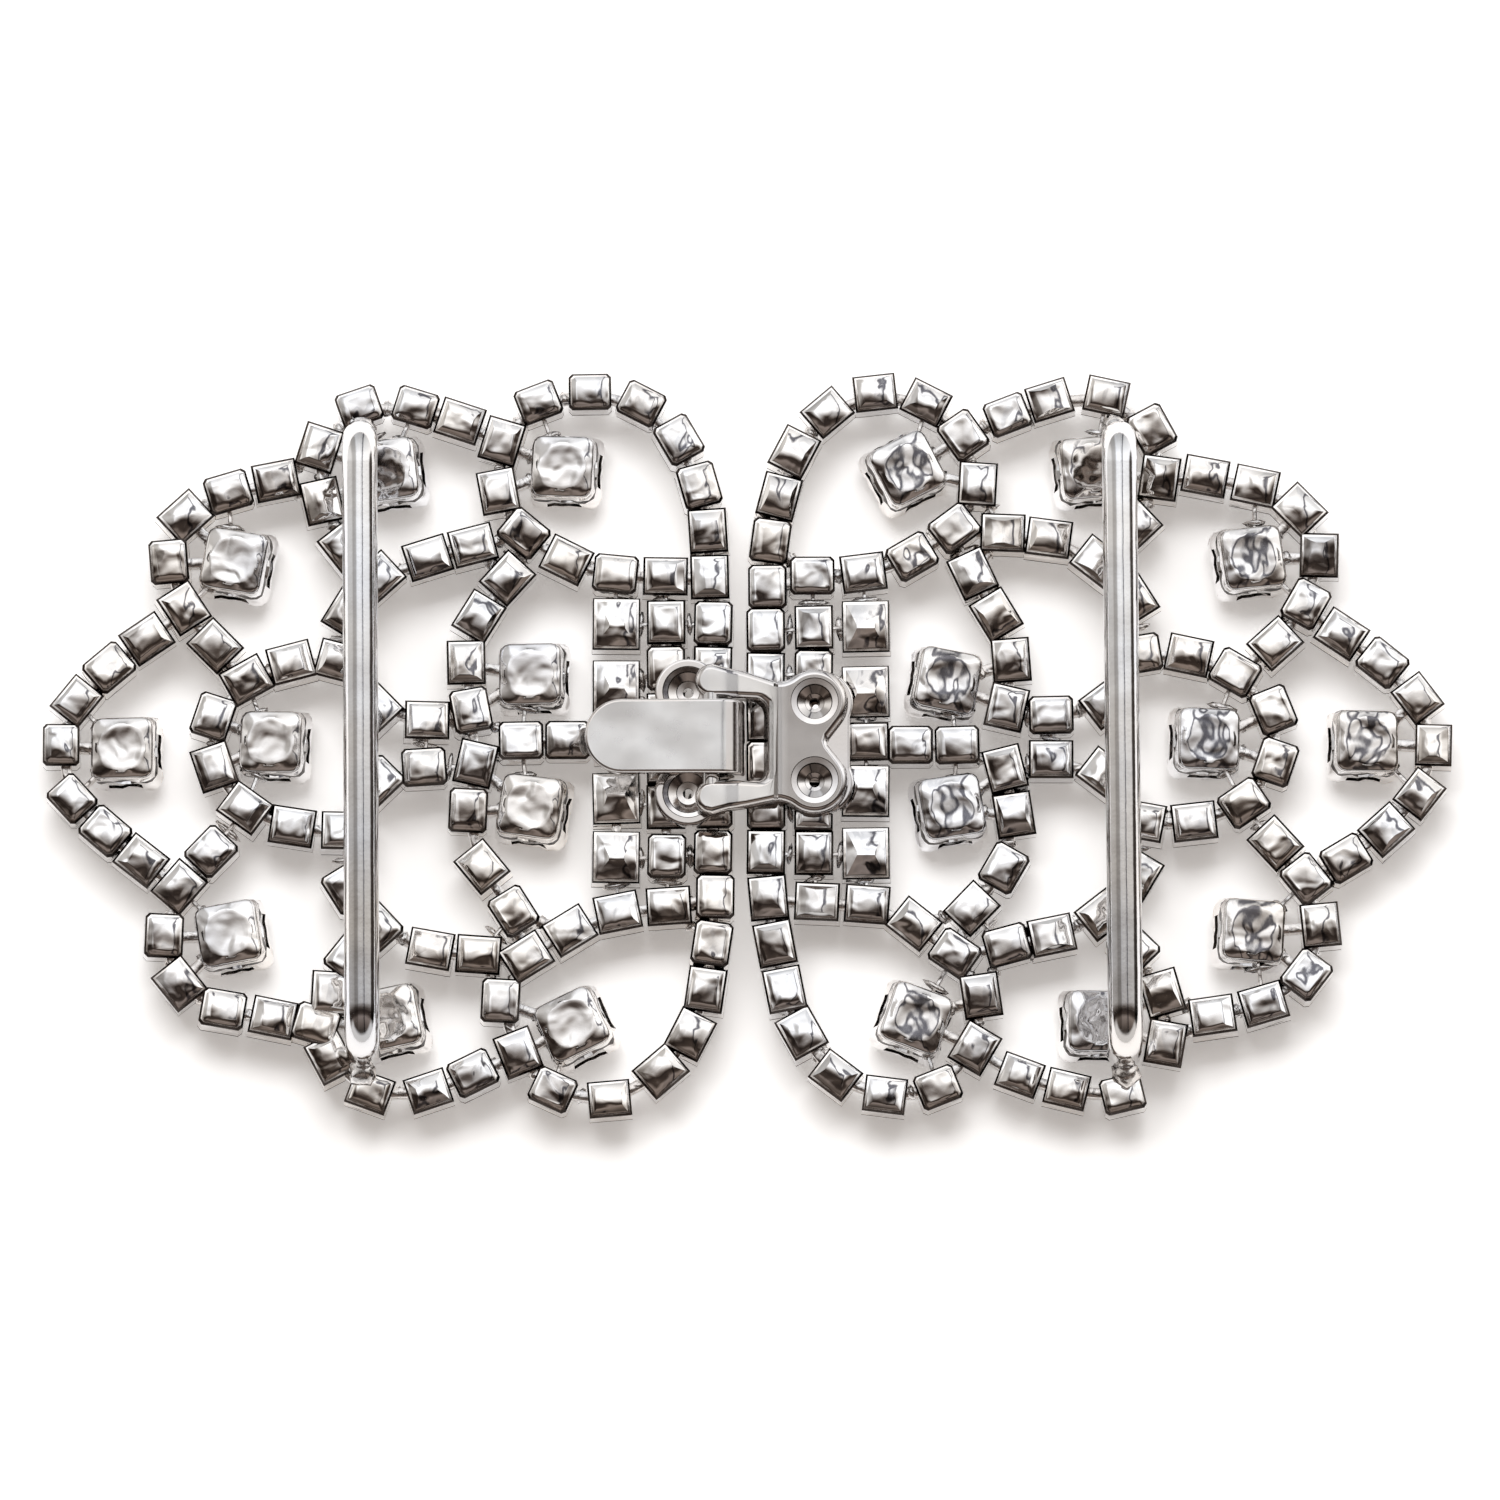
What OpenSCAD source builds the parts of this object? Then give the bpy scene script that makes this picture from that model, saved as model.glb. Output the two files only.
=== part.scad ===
// Interlocking clasp: two openwork halves soldered up from square chain cups and claw
// settings, a folded hook on the left half and a forked eye plate on the right half.
// The clasp lies stones down, so its back faces up. Millimetres, X across, Y up the strap bars.

/* [Chain cups] */
// Length of a chain cup, along its chain
cup_length = 2.8; // [2.4:0.05:2.8]
// Width of a chain cup, across its chain
cup_width = 2.45; // [2.1:0.05:2.45]
// Height of a chain cup, from its stone's rim to its back
cup_height = 2.3; // [2:0.1:2.6]
// Bevel on the upright corners of a chain cup
cup_bevel = 0.25; // [0.1:0.05:0.4]
// Width of the link bars between the cups
link_width = 1; // [0.7:0.1:1.2]

/* [Square cups] */
// Width of the four larger square cups beside the grid
square_width = 2.95; // [2.7:0.05:3.1]
// Height of those cups, measured up the clasp
square_length = 3.25; // [3:0.05:3.4]

/* [Claw settings] */
// Width of a claw setting at its back
setting_back = 3.9; // [3.7:0.1:4.1]
// Width of a claw setting over its collar of claws
setting_collar = 4.75; // [4.6:0.05:4.9]
// Height of a claw setting, from its claw tips to its back
setting_height = 3.1; // [2.9:0.1:3.3]
// Angle at which the settings lean away from the centre of the clasp
setting_lean = 8; // [4:1:10]
// Diameter of the round stone in a claw setting
stone_diameter = 4.1; // [3.9:0.05:4.2]
// Height of that stone
stone_height = 2.4; // [2.2:0.1:2.5]

/* [Strap bars] */
// Diameter of the strap bar's wire
bar_diameter = 2.2; // [1.8:0.1:2.4]
// Clear length of the strap bar between its legs, for a 35 mm strap
bar_clear_length = 36; // [35.5:0.5:37]
// Clear height under the strap bar
bar_clear_height = 4.4; // [4.2:0.1:5]
// Radius of the bar's end bends, on the wire's centre line
bar_bend = 2; // [1.6:0.1:2.6]

/* [Hook] */
// Thickness of the hook's sheet metal
hook_sheet = 0.8; // [0.7:0.05:0.9]
// Width of the hook's tongue
tongue_width = 4.7; // [4.3:0.1:4.9]
// Clear height inside the hook, between its base and its tongue
hook_throat = 1.6; // [1.55:0.05:1.8]
// Distance of the two base lobes from the hook's centre line
hook_lobe_offset = 3.2; // [3:0.1:3.4]
// Radius of the base lobes
hook_lobe_radius = 2.1; // [1.9:0.1:2.2]

/* [Eye plate] */
// Thickness of the eye plate
eye_sheet = 1.3; // [1.1:0.1:1.4]
// Radius of the eye's cross bar, which the hook holds
eye_bar_radius = 0.6; // [0.5:0.05:0.65]
// Distance of the two lobes from the plate's centre line
eye_lobe_offset = 2.5; // [2.4:0.1:2.7]
// Radius of the two lobes
eye_lobe_radius = 2.1; // [1.9:0.1:2.2]
// Clear width between the eye's two arms
eye_window = 5.1; // [5.05:0.05:5.3]
// How far the plate's lower flange reaches past the two lobes
eye_flange_reach = 0.4; // [0.2:0.05:0.5]

/* [Hidden] */
$fn = 48;
PLATEAU_INSET = 0.3;
PLATEAU_STEP = 0.3;
LINK_BELOW_BACK = 0.9;
LINK_HEIGHT = 0.7;
LINK_REACH = 3.75;
SETTING_REACH = 4.7;
OVERLAP = 0.3;

// Claw settings and their stones
POCKET_SIDES = 12;
SETTING_BEVEL = 0.6;
COLLAR_BEVEL = 0.8;
COLLAR_SHARE = 0.52;
MOUTH_SHARE = 0.48;
FLOOR_WALL = 0.45;
SIDE_WALL = 0.25;
STONE_GAP = 0.08;
STONE_SINK = 0.1;
TABLE_SHARE = 0.6;
CROWN_SHARE = 0.3;
GIRDLE = 0.15;

// The claws stand on the surface at height 0; every back lies near back_z.
LEAN_SHARE = 0.6;
back_z = setting_height * cos(setting_lean) + setting_collar * sin(setting_lean) * LEAN_SHARE;
cups_front_z = back_z - cup_height;

// Middle of the whole clasp in the tables below; it is laid on the origin.
middle_x = -0.1;
middle_y = 0.01;

// Chains of cups on the left half, listed from the outer point inwards.
// [x and y of the first cup, its heading in degrees, cup spacing, turn at each further cup]
left_chains = [
    [-43.0, 0.0, 90, 2.95, [-38, -11, -7]],         // outer point, upper side
    [-42.3, -3.4, -48, 2.93, [7, 3]],               // outer point, lower side
    [-29.6, 16.8, 191, 3.09, [5, 28, 52, 26, 13]],  // upper lobe, round to the ring
    [-31.4, 4.1, 30, 3.0, [-14, -30]],              // ring, upper side
    [-33.5, 1.8, -108, 3.21, [38, 34, 28, 8]],      // ring, lower side
    [-35.6, -9.0, 50, 3.0, [-3]],                   // ring, up from the lower lobe
    [-36.5, -12.1, -93, 3.17, [41, 44, -4]],        // lower lobe
    [-26.9, 18.9, 73, 3.6, [-53]],                  // rim above the strap bar
    [-20.9, 21.5, -18, 2.93, [1]],
    [-26.7, 15.5, -76, 3.27, [24]],                 // crossing under the upper half of the bar
    [-25.1, 8.4, 57, 2.93, [-14]],
    [-20.1, 11.9, 18, 2.94, [-4]],
    [-15.5, 19.3, -108, 3.16, [28, 42, 12, 20, 6]], // S curve from the rim to the grid
    [-13.2, 21.8, 22, 3.3, [-21, -28, -34]],        // inner loop, upper
    [-3.1, 16.5, -73, 2.94, [-14, -1]],
    [-15.1, 10.6, -132, 3.03, [11, 32, 10]],        // upper side of the stem's cradle
    [-17.1, -1.2, -104, 3.0, [11]],                 // lower side of the stem's cradle
    [-16.7, -7.7, -52, 3.47, [-6]],
    [-25.1, -9.1, -58, 3.0, [12]],                  // crossing under the lower half of the bar
    [-24.9, -13.4, 52, 3.0, []],
    [-26.1, -15.7, 88, 3.0, []],
    [-27.0, -17.7, -18, 3.0, []],
    [-19.9, -12.9, -10, 3.03, [5]],
    [-26.1, -19.8, -62, 3.27, [42]],                // rim below the strap bar
    [-20.0, -21.9, 18, 3.0, [8]],
    [-14.4, -19.5, 112, 3.0, []],
    [-15.5, -16.2, 88, 3.2, [-56, 0, -22, -6]],     // S curve from the lower rim to the grid
    [-2.1, -9.6, -91, 2.97, [-6, -2, -19, -20]],    // inner loop, lower
    [-8.7, -22.4, 186, 3.58, [-30]],
    [-20.1, 1.6, -2, 3.0, []],                      // short arms beside the stem
    [-23.4, 2.5, -45, 3.0, []],
    [-20.3, -1.4, 5, 3.0, []],
    [-23.2, -2.3, 45, 3.0, []],
    [-14.25, 0.3, 0, 2.9, [0]]                      // stem, ending under the hook
];

// The same for the right half, also from the outer point inwards.
right_chains = [
    [42.8, 0.0, 90, 3.13, [37, 14, 6]],
    [41.9, -3.1, 232, 3.09, [-10, -11]],
    [28.6, 17.1, -9, 3.17, [-4, -31, -48, -26, -20]],
    [30.4, 4.6, 150, 3.1, [18, 22]],
    [32.8, 2.2, -68, 3.29, [-40, -39, -25, -18]],
    [34.8, -8.5, 128, 2.97, [5]],
    [35.7, -11.4, -84, 3.27, [-44, -35, -9]],
    [22.4, 22.2, -13, 3.56, [-48]],
    [16.2, 21.0, 22, 2.8, [-4]],
    [25.7, 17.0, -98, 3.5, [-38]],
    [24.0, 9.3, 122, 3.2, [20]],
    [15.9, 13.5, -3, 2.9, [-6]],
    [13.4, 19.7, -54, 3.21, [-38, -50, -8, -23, -7]],
    [11.1, 21.8, 152, 3.25, [34, 33, 23]],
    [1.9, 15.8, 256, 2.9, [6, 8]],
    [14.0, 10.9, -64, 3.02, [6, -28, -18]],
    [16.0, -1.5, -76, 3.0, [-6]],
    [15.9, -7.8, -121, 3.24, [-14]],
    [22.1, -10.7, 38, 3.3, [22]],
    [24.0, -12.8, -45, 3.42, [-28]],
    [26.0, -18.9, -100, 3.0, []],
    [23.3, -22.1, 12, 3.0, []],
    [16.1, -12.7, 14, 2.9, [-2]],
    [16.9, -20.9, -20, 3.06, [6]],
    [14.1, -19.2, 59, 3.0, []],
    [14.5, -15.9, 98, 3.16, [48, -6, 35, 3]],
    [1.2, -9.7, -86, 2.93, [8, 0, 18]],
    [5.4, -20.9, -38, 3.33, [32, 28]],
    [18.9, 1.9, 0, 3.0, []],
    [22.4, 2.7, 38, 3.0, []],
    [18.9, -0.9, 0, 3.0, []],
    [22.2, -1.8, -38, 3.0, []],
    [10.1, 0.0, 0, 2.9, [0]]
];

// Straight columns of cups in the grid at each inner edge, under the hook and the eye plate.
// [x, y of the top cup, y of the bottom cup, number of cups, heading]
left_columns = [
    [-2.25, 7.75, -6.8, 6, 90],
    [-5.2, 7.8, -3.95, 5, 90],
    [-5.15, -7.05, -7.05, 1, 90],
    [-8.2, 0.2, 0.2, 1, 0]
];
right_columns = [
    [1.05, 7.3, -6.8, 6, 90],
    [4.05, 7.5, -6.85, 6, 90],
    [7.35, 0.2, 0.2, 1, 0]
];

// Height up the clasp of each square cup in the grid's outer column.
left_squares_x = -8.3;
left_squares = [7.7, 3.75, -3.35, -7.1];
right_squares_x = 7.3;
right_squares = [7.55, 3.4, -2.9, -6.85];

// Claw settings, from the outer point inwards: [x and y of the back's centre, turn in degrees]
left_settings = [
    [-39.25, -0.2, 0],
    [-32.3, 11.7, -11],
    [-32.55, -11.95, 9],
    [-29.95, 0.2, -2],
    [-22.8, 17.5, 7],
    [-22.6, -17.3, 11],
    [-13.75, 4.5, 0],
    [-13.75, -3.9, -9],
    [-11.75, 17.7, -3],
    [-11.1, -17.7, 25]
];
right_settings = [
    [38.7, 0.25, 0],
    [31.6, 11.9, 8],
    [31.55, -11.75, -3],
    [28.8, 0.4, -1],
    [21.55, 17.65, 6],
    [21.9, -17.5, 0],
    [12.5, 4.1, -10],
    [12.75, -3.9, 10],
    [10.0, 17.6, 28],
    [10.5, -17.3, -19]
];

// Strap bars: [x at the top, x at the bottom]; both stand at the same height up the clasp.
left_bar_x = [-24.3, -24.05];
right_bar_x = [23.1, 23.4];
bar_middle_y = -0.35;

// Lumps of solder that tie the legs of the strap bars to the rim: [x, y]
left_solder = [[-24.2, 20.0], [-24.1, -20.8]];
right_solder = [[22.9, 20.1], [23.5, -20.9]];
SOLDER_RADIUS = 0.9;
SOLDER_SINK = 0.2;

// The hinge line runs along the middle of the eye's cross bar.
hinge_x = -2.35;
hinge_z = back_z + hook_sheet + hook_throat / 2;
hook_fold_x = -1.85;
hook_base_x = -5.9;
hook_tip_x = -10.25;
eye_edge_x = 1.2;
eye_end_x = 6.2;
eye_waist = 7.8;
eye_waist_inset = 0.6;
eye_notch_x = 4.9;
eye_flange_height = 0.6;
eye_flange_notch = 0.25;
arm_width = 1.9;
arm_bend_x = -1.0;
ARM_RISE = 0.3;
ARM_ROOT = 1;
lobe_dish_radius = 1.45;
lobe_hole_radius = 0.33;
DISH_DEPTH = 0.45;

// A chain walks from cup to cup: half of each turn comes before the step and half after it.
function sum_to(list, n) = n <= 0 ? 0 : list[n - 1] + sum_to(list, n - 1);
function cup_heading(chain, i) = chain[2] + sum_to(chain[4], i);
function step_heading(chain, i) = (cup_heading(chain, i - 1) + cup_heading(chain, i)) / 2;
function cup_x(chain, i) =
    i == 0 ? chain[0] : cup_x(chain, i - 1) + chain[3] * cos(step_heading(chain, i));
function cup_y(chain, i) =
    i == 0 ? chain[1] : cup_y(chain, i - 1) + chain[3] * sin(step_heading(chain, i));
function column_y(column, i) =
    column[3] == 1 ? column[1] : column[1] + (column[2] - column[1]) * i / (column[3] - 1);

function chain_cups(chains) = [
    for (chain = chains)
        for (i = [0 : len(chain[4])])
            [cup_x(chain, i), cup_y(chain, i), cup_heading(chain, i)]
];
function column_cups(columns) = [
    for (column = columns)
        for (i = [0 : column[3] - 1])
            [column[0], column_y(column, i), column[4]]
];
function square_cups(x, heights) = [for (y = heights) [x, y, 90]];
function apart(a, b) = norm([a[0] - b[0], a[1] - b[1]]);

left_cups = concat(chain_cups(left_chains), column_cups(left_columns));
right_cups = concat(chain_cups(right_chains), column_cups(right_columns));
left_square_cups = square_cups(left_squares_x, left_squares);
right_square_cups = square_cups(right_squares_x, right_squares);

// A leaning setting is raised so that its lowest claw just reaches the surface.
// The collar's bevel is widened by the turn, so the reach of its corner is the larger of two.
function collar_reach(turn) =
    let (half = setting_collar / 2, side = abs(turn))
    max(half * cos(side) + (half - COLLAR_BEVEL) * sin(side),
        (half - COLLAR_BEVEL) * cos(side) + half * sin(side));
function setting_back_z(turn) =
    setting_height * cos(setting_lean) + collar_reach(turn) * sin(setting_lean);

STONES = len(left_settings);

module bevelled(length, width, bevel) {
    x = length / 2;
    y = width / 2;
    polygon([
        [x - bevel, -y], [x, bevel - y], [x, y - bevel], [x - bevel, y],
        [bevel - x, y], [-x, y - bevel], [-x, bevel - y], [bevel - x, -y]
    ]);
}

// Draws its children with the middle of the clasp on the origin.
module centred() {
    translate([-middle_x, -middle_y, 0]) children();
}

module place(spots) {
    for (spot = spots)
        translate([spot[0], spot[1]]) rotate(spot[2]) children();
}

module bar_between(a, b, width) {
    translate([a[0], a[1]])
        rotate(atan2(b[1] - a[1], b[0] - a[0]))
            translate([0, -width / 2]) square([apart(a, b), width]);
}

// Every two cups within reach of each other are joined by a link bar.
module links(spots, seats) {
    for (i = [0 : len(spots) - 2])
        for (j = [i + 1 : len(spots) - 1])
            if (apart(spots[i], spots[j]) < LINK_REACH)
                bar_between(spots[i], spots[j], link_width);
    for (seat = seats)
        for (spot = spots)
            if (apart(seat, spot) < SETTING_REACH)
                bar_between(seat, spot, link_width);
}

module plateau(length, width) {
    square([length - 2 * PLATEAU_INSET, width - 2 * PLATEAU_INSET], center = true);
}

// Closed cups: each block stands for a cup and its stone, with a low step around its back.
module cups(spots, squares) {
    translate([0, 0, cups_front_z])
        linear_extrude(cup_height - PLATEAU_STEP) {
            place(spots) bevelled(cup_length, cup_width, cup_bevel);
            place(squares) bevelled(square_length, square_width, cup_bevel);
        }
    translate([0, 0, back_z - PLATEAU_STEP - OVERLAP])
        linear_extrude(PLATEAU_STEP + OVERLAP) {
            place(spots) plateau(cup_length, cup_width);
            place(squares) plateau(square_length, square_width);
        }
}

// A setting is drawn back up, with its middle back point at the origin, then leaned over.
module seated(seats, lean) {
    for (seat = seats)
        translate([seat[0], seat[1], setting_back_z(seat[2])])
            rotate([0, lean, 0]) rotate(seat[2]) children();
}

module setting_body() {
    translate([0, 0, OVERLAP - setting_height])
        linear_extrude(setting_height - OVERLAP)
            bevelled(setting_back, setting_back, SETTING_BEVEL);
    translate([0, 0, -setting_height])
        linear_extrude(setting_height * COLLAR_SHARE)
            bevelled(setting_collar, setting_collar, COLLAR_BEVEL);
}

// The pocket is open at the front: a wide mouth for the stone and a cavity behind it.
module setting_pocket() {
    mouth_radius = (stone_diameter / 2 + STONE_GAP) / cos(180 / POCKET_SIDES);
    rotate(180 / POCKET_SIDES) {
        translate([0, 0, -setting_height - OVERLAP])
            cylinder(h = setting_height * MOUTH_SHARE + OVERLAP, r = mouth_radius, $fn = POCKET_SIDES);
        translate([0, 0, -setting_height])
            cylinder(h = setting_height - FLOOR_WALL, r = setting_back / 2 - SIDE_WALL, $fn = POCKET_SIDES);
    }
}

// A round chaton: flat table, crown, girdle and a pavilion that comes to a point.
module setting_stone() {
    table_z = STONE_SINK - setting_height;
    girdle_z = table_z + stone_height * CROWN_SHARE;
    r = stone_diameter / 2;
    rotate_extrude()
        polygon([
            [0, table_z], [r * TABLE_SHARE, table_z], [r, girdle_z],
            [r, girdle_z + GIRDLE], [0, table_z + stone_height]
        ]);
}

// A staple of round wire: a straight bar, two bends and two legs soldered to the frame.
module strap_bar(bar_x) {
    half = bar_clear_length / 2 + bar_diameter / 2;
    wire_z = back_z + bar_clear_height + bar_diameter / 2;
    foot_z = back_z - OVERLAP;
    slant = atan2(bar_x[1] - bar_x[0], 2 * half);
    translate([(bar_x[0] + bar_x[1]) / 2, bar_middle_y, 0])
        rotate(slant) {
            translate([0, half - bar_bend, wire_z])
                rotate([90, 0, 0]) cylinder(h = 2 * (half - bar_bend), d = bar_diameter);
            for (side = [-1, 1]) {
                translate([0, side * half, foot_z])
                    cylinder(h = wire_z - bar_bend - foot_z, d = bar_diameter);
                translate([0, side * (half - bar_bend), wire_z - bar_bend])
                    rotate([0, 0, side * 90]) rotate([90, 0, 0])
                        rotate_extrude(angle = 90) translate([bar_bend, 0]) circle(d = bar_diameter);
            }
        }
}

module solder(spots) {
    for (spot = spots)
        translate([spot[0], spot[1], back_z - SOLDER_SINK]) sphere(r = SOLDER_RADIUS);
}

// A dish in a sheet's upper face, with a small hole down through its middle.
module dished_hole(sheet_top, sheet) {
    translate([0, 0, sheet_top])
        rotate_extrude()
            polygon([
                [0, -sheet - OVERLAP], [lobe_hole_radius, -sheet - OVERLAP],
                [lobe_hole_radius, -DISH_DEPTH], [lobe_dish_radius, 0],
                [lobe_dish_radius, OVERLAP], [0, OVERLAP]
            ]);
}

// Sheet metal hook: a base with two lobes, a fold, and a tongue lying back over the base.
module hook() {
    lobe_x = hook_base_x + hook_lobe_radius;
    tip_radius = tongue_width / 2;
    difference() {
        translate([0, 0, back_z])
            linear_extrude(hook_sheet) {
                translate([lobe_x, -tongue_width / 2])
                    square([hook_fold_x - lobe_x, tongue_width]);
                for (side = [-1, 1])
                    translate([lobe_x, side * hook_lobe_offset]) circle(r = hook_lobe_radius);
            }
        for (side = [-1, 1])
            translate([lobe_x, side * hook_lobe_offset, 0])
                dished_hole(back_z + hook_sheet, hook_sheet);
    }
    translate([hook_fold_x, tongue_width / 2, hinge_z])
        rotate([90, 0, 0]) rotate([0, 0, -90])
            rotate_extrude(angle = 180)
                translate([hook_throat / 2, 0]) square([hook_sheet, tongue_width]);
    translate([0, 0, hinge_z + hook_throat / 2])
        linear_extrude(hook_sheet) {
            translate([hook_tip_x + tip_radius, 0]) circle(r = tip_radius);
            translate([hook_tip_x + tip_radius, -tongue_width / 2])
                square([hook_fold_x - hook_tip_x - tip_radius, tongue_width]);
        }
}

// Two lobes with the plate between them, as far as the notch.
module eye_lobes(x, notch_x) {
    translate([eye_edge_x, -eye_lobe_offset])
        square([notch_x - eye_edge_x, 2 * eye_lobe_offset]);
    for (side = [-1, 1])
        translate([x, side * eye_lobe_offset]) circle(r = eye_lobe_radius);
}

// Eye plate: two lobes on a waist and a lower flange, two arms reaching over the gap,
// and the cross bar they carry.
module eye_plate() {
    lobe_x = eye_end_x - eye_lobe_radius;
    flange_x = lobe_x + eye_flange_reach;
    arm_top = eye_window / 2 + arm_width;
    plate_top = back_z + eye_sheet;
    difference() {
        translate([0, 0, back_z]) {
            linear_extrude(eye_sheet) {
                translate([eye_edge_x, -eye_waist / 2])
                    square([lobe_x - eye_edge_x - eye_waist_inset, eye_waist]);
                eye_lobes(lobe_x, eye_notch_x);
            }
            linear_extrude(eye_flange_height)
                eye_lobes(flange_x, flange_x + eye_lobe_radius - eye_flange_notch);
        }
        for (side = [-1, 1])
            translate([lobe_x, side * eye_lobe_offset, 0]) dished_hole(plate_top, eye_sheet);
    }
    for (side = [0, 1])
        mirror([0, side, 0])
            translate([0, arm_top, 0])
                rotate([90, 0, 0])
                    linear_extrude(arm_width) {
                        translate([hinge_x, hinge_z]) circle(r = eye_bar_radius);
                        polygon([
                            [hinge_x, hinge_z - eye_bar_radius],
                            [arm_bend_x, hinge_z - eye_bar_radius], [eye_edge_x, back_z],
                            [eye_edge_x + ARM_ROOT, back_z], [eye_edge_x + ARM_ROOT, plate_top],
                            [eye_edge_x, plate_top + ARM_RISE],
                            [hinge_x, hinge_z + eye_bar_radius]
                        ]);
                    }
    translate([hinge_x, arm_top - OVERLAP, hinge_z])
        rotate([90, 0, 0]) cylinder(h = 2 * (arm_top - OVERLAP), r = eye_bar_radius);
}

module half_frame(spots, squares, seats, lean) {
    all_spots = concat(spots, squares);
    difference() {
        union() {
            cups(spots, squares);
            translate([0, 0, back_z - LINK_BELOW_BACK - LINK_HEIGHT])
                linear_extrude(LINK_HEIGHT) links(all_spots, seats);
            seated(seats, lean) setting_body();
        }
        seated(seats, lean) setting_pocket();
    }
}

module left_frame() {
    color("silver")
        centred() {
            half_frame(left_cups, left_square_cups, left_settings, -setting_lean);
            strap_bar(left_bar_x);
            solder(left_solder);
            hook();
        }
}

module right_frame() {
    color("silver")
        centred() {
            half_frame(right_cups, right_square_cups, right_settings, setting_lean);
            strap_bar(right_bar_x);
            solder(right_solder);
            eye_plate();
        }
}

module left_stone(i) {
    color("lightblue")
        centred() seated([left_settings[i - 1]], -setting_lean) setting_stone();
}

module right_stone(i) {
    color("lightblue")
        centred() seated([right_settings[i - 1]], setting_lean) setting_stone();
}

left_frame();
right_frame();
for (i = [1 : STONES])
    left_stone(i);
for (i = [1 : STONES])
    right_stone(i);
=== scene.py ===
# Interlocking clasp of rhinestone cup chain and claw settings, lying stones down.
# Pieces are modelled in millimetres in the CAD model's frame, and brought to metres when done.
import math
import random

import bmesh
import bpy
from mathutils import Matrix


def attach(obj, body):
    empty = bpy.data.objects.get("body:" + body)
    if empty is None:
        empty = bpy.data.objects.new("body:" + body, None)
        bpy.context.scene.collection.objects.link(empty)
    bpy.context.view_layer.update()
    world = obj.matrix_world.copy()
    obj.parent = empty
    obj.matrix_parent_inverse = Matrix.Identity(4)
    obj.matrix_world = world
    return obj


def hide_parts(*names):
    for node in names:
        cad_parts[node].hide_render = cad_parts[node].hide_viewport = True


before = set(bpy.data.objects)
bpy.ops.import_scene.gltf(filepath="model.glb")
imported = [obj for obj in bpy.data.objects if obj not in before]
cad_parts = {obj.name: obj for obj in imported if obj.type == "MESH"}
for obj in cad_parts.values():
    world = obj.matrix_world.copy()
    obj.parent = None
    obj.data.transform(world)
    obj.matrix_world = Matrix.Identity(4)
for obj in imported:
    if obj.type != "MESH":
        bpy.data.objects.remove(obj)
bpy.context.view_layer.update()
mm = 0.001

# Sizes that the pieces share, as the CAD model has them
clasp = {
    "middleX": -0.1,  # middle of the charts, laid on the origin
    "middleY": 0.01,
    "backZ": 3.46647,  # height of the cups' backs
    "lean": 8.0,  # lean of the claw settings, in degrees
    "settingHeight": 3.1,
    "collarHalf": 2.375,
    "collarBevel": 0.8,
    "linkReach": 3.75,  # cups nearer than this are joined by a link bar
    "seatReach": 4.7,  # and so are a setting and a cup
}

# Camera at the photograph's angle, with a long lens
photoView = {
    "elevation": 80.0,
    "target": (0.1625, -0.391, 3.466),
    "widthShown": 93.75,
    "distance": 1500.0,
    "sensor": 36.0,
}


def inScene(data):
    # an object for a camera or light
    made = bpy.data.objects.new(data.name, data)
    bpy.context.scene.collection.objects.link(made)
    return made


slope = math.radians(photoView["elevation"])
cameraData = bpy.data.cameras.new("photo_camera")
camera = inScene(cameraData)
bpy.context.scene.camera = camera
cameraData.sensor_width = photoView["sensor"]
cameraData.lens = photoView["sensor"] * photoView["distance"] / photoView["widthShown"]
cameraData.clip_start = 0.05
cameraData.clip_end = 20.0
camera.location = (
    photoView["target"][0] * mm,
    (photoView["target"][1] - photoView["distance"] * math.cos(slope)) * mm,
    (photoView["target"][2] + photoView["distance"] * math.sin(slope)) * mm,
)
camera.rotation_euler = (math.radians(90) - slope, 0, 0)
print("camera set")


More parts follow.
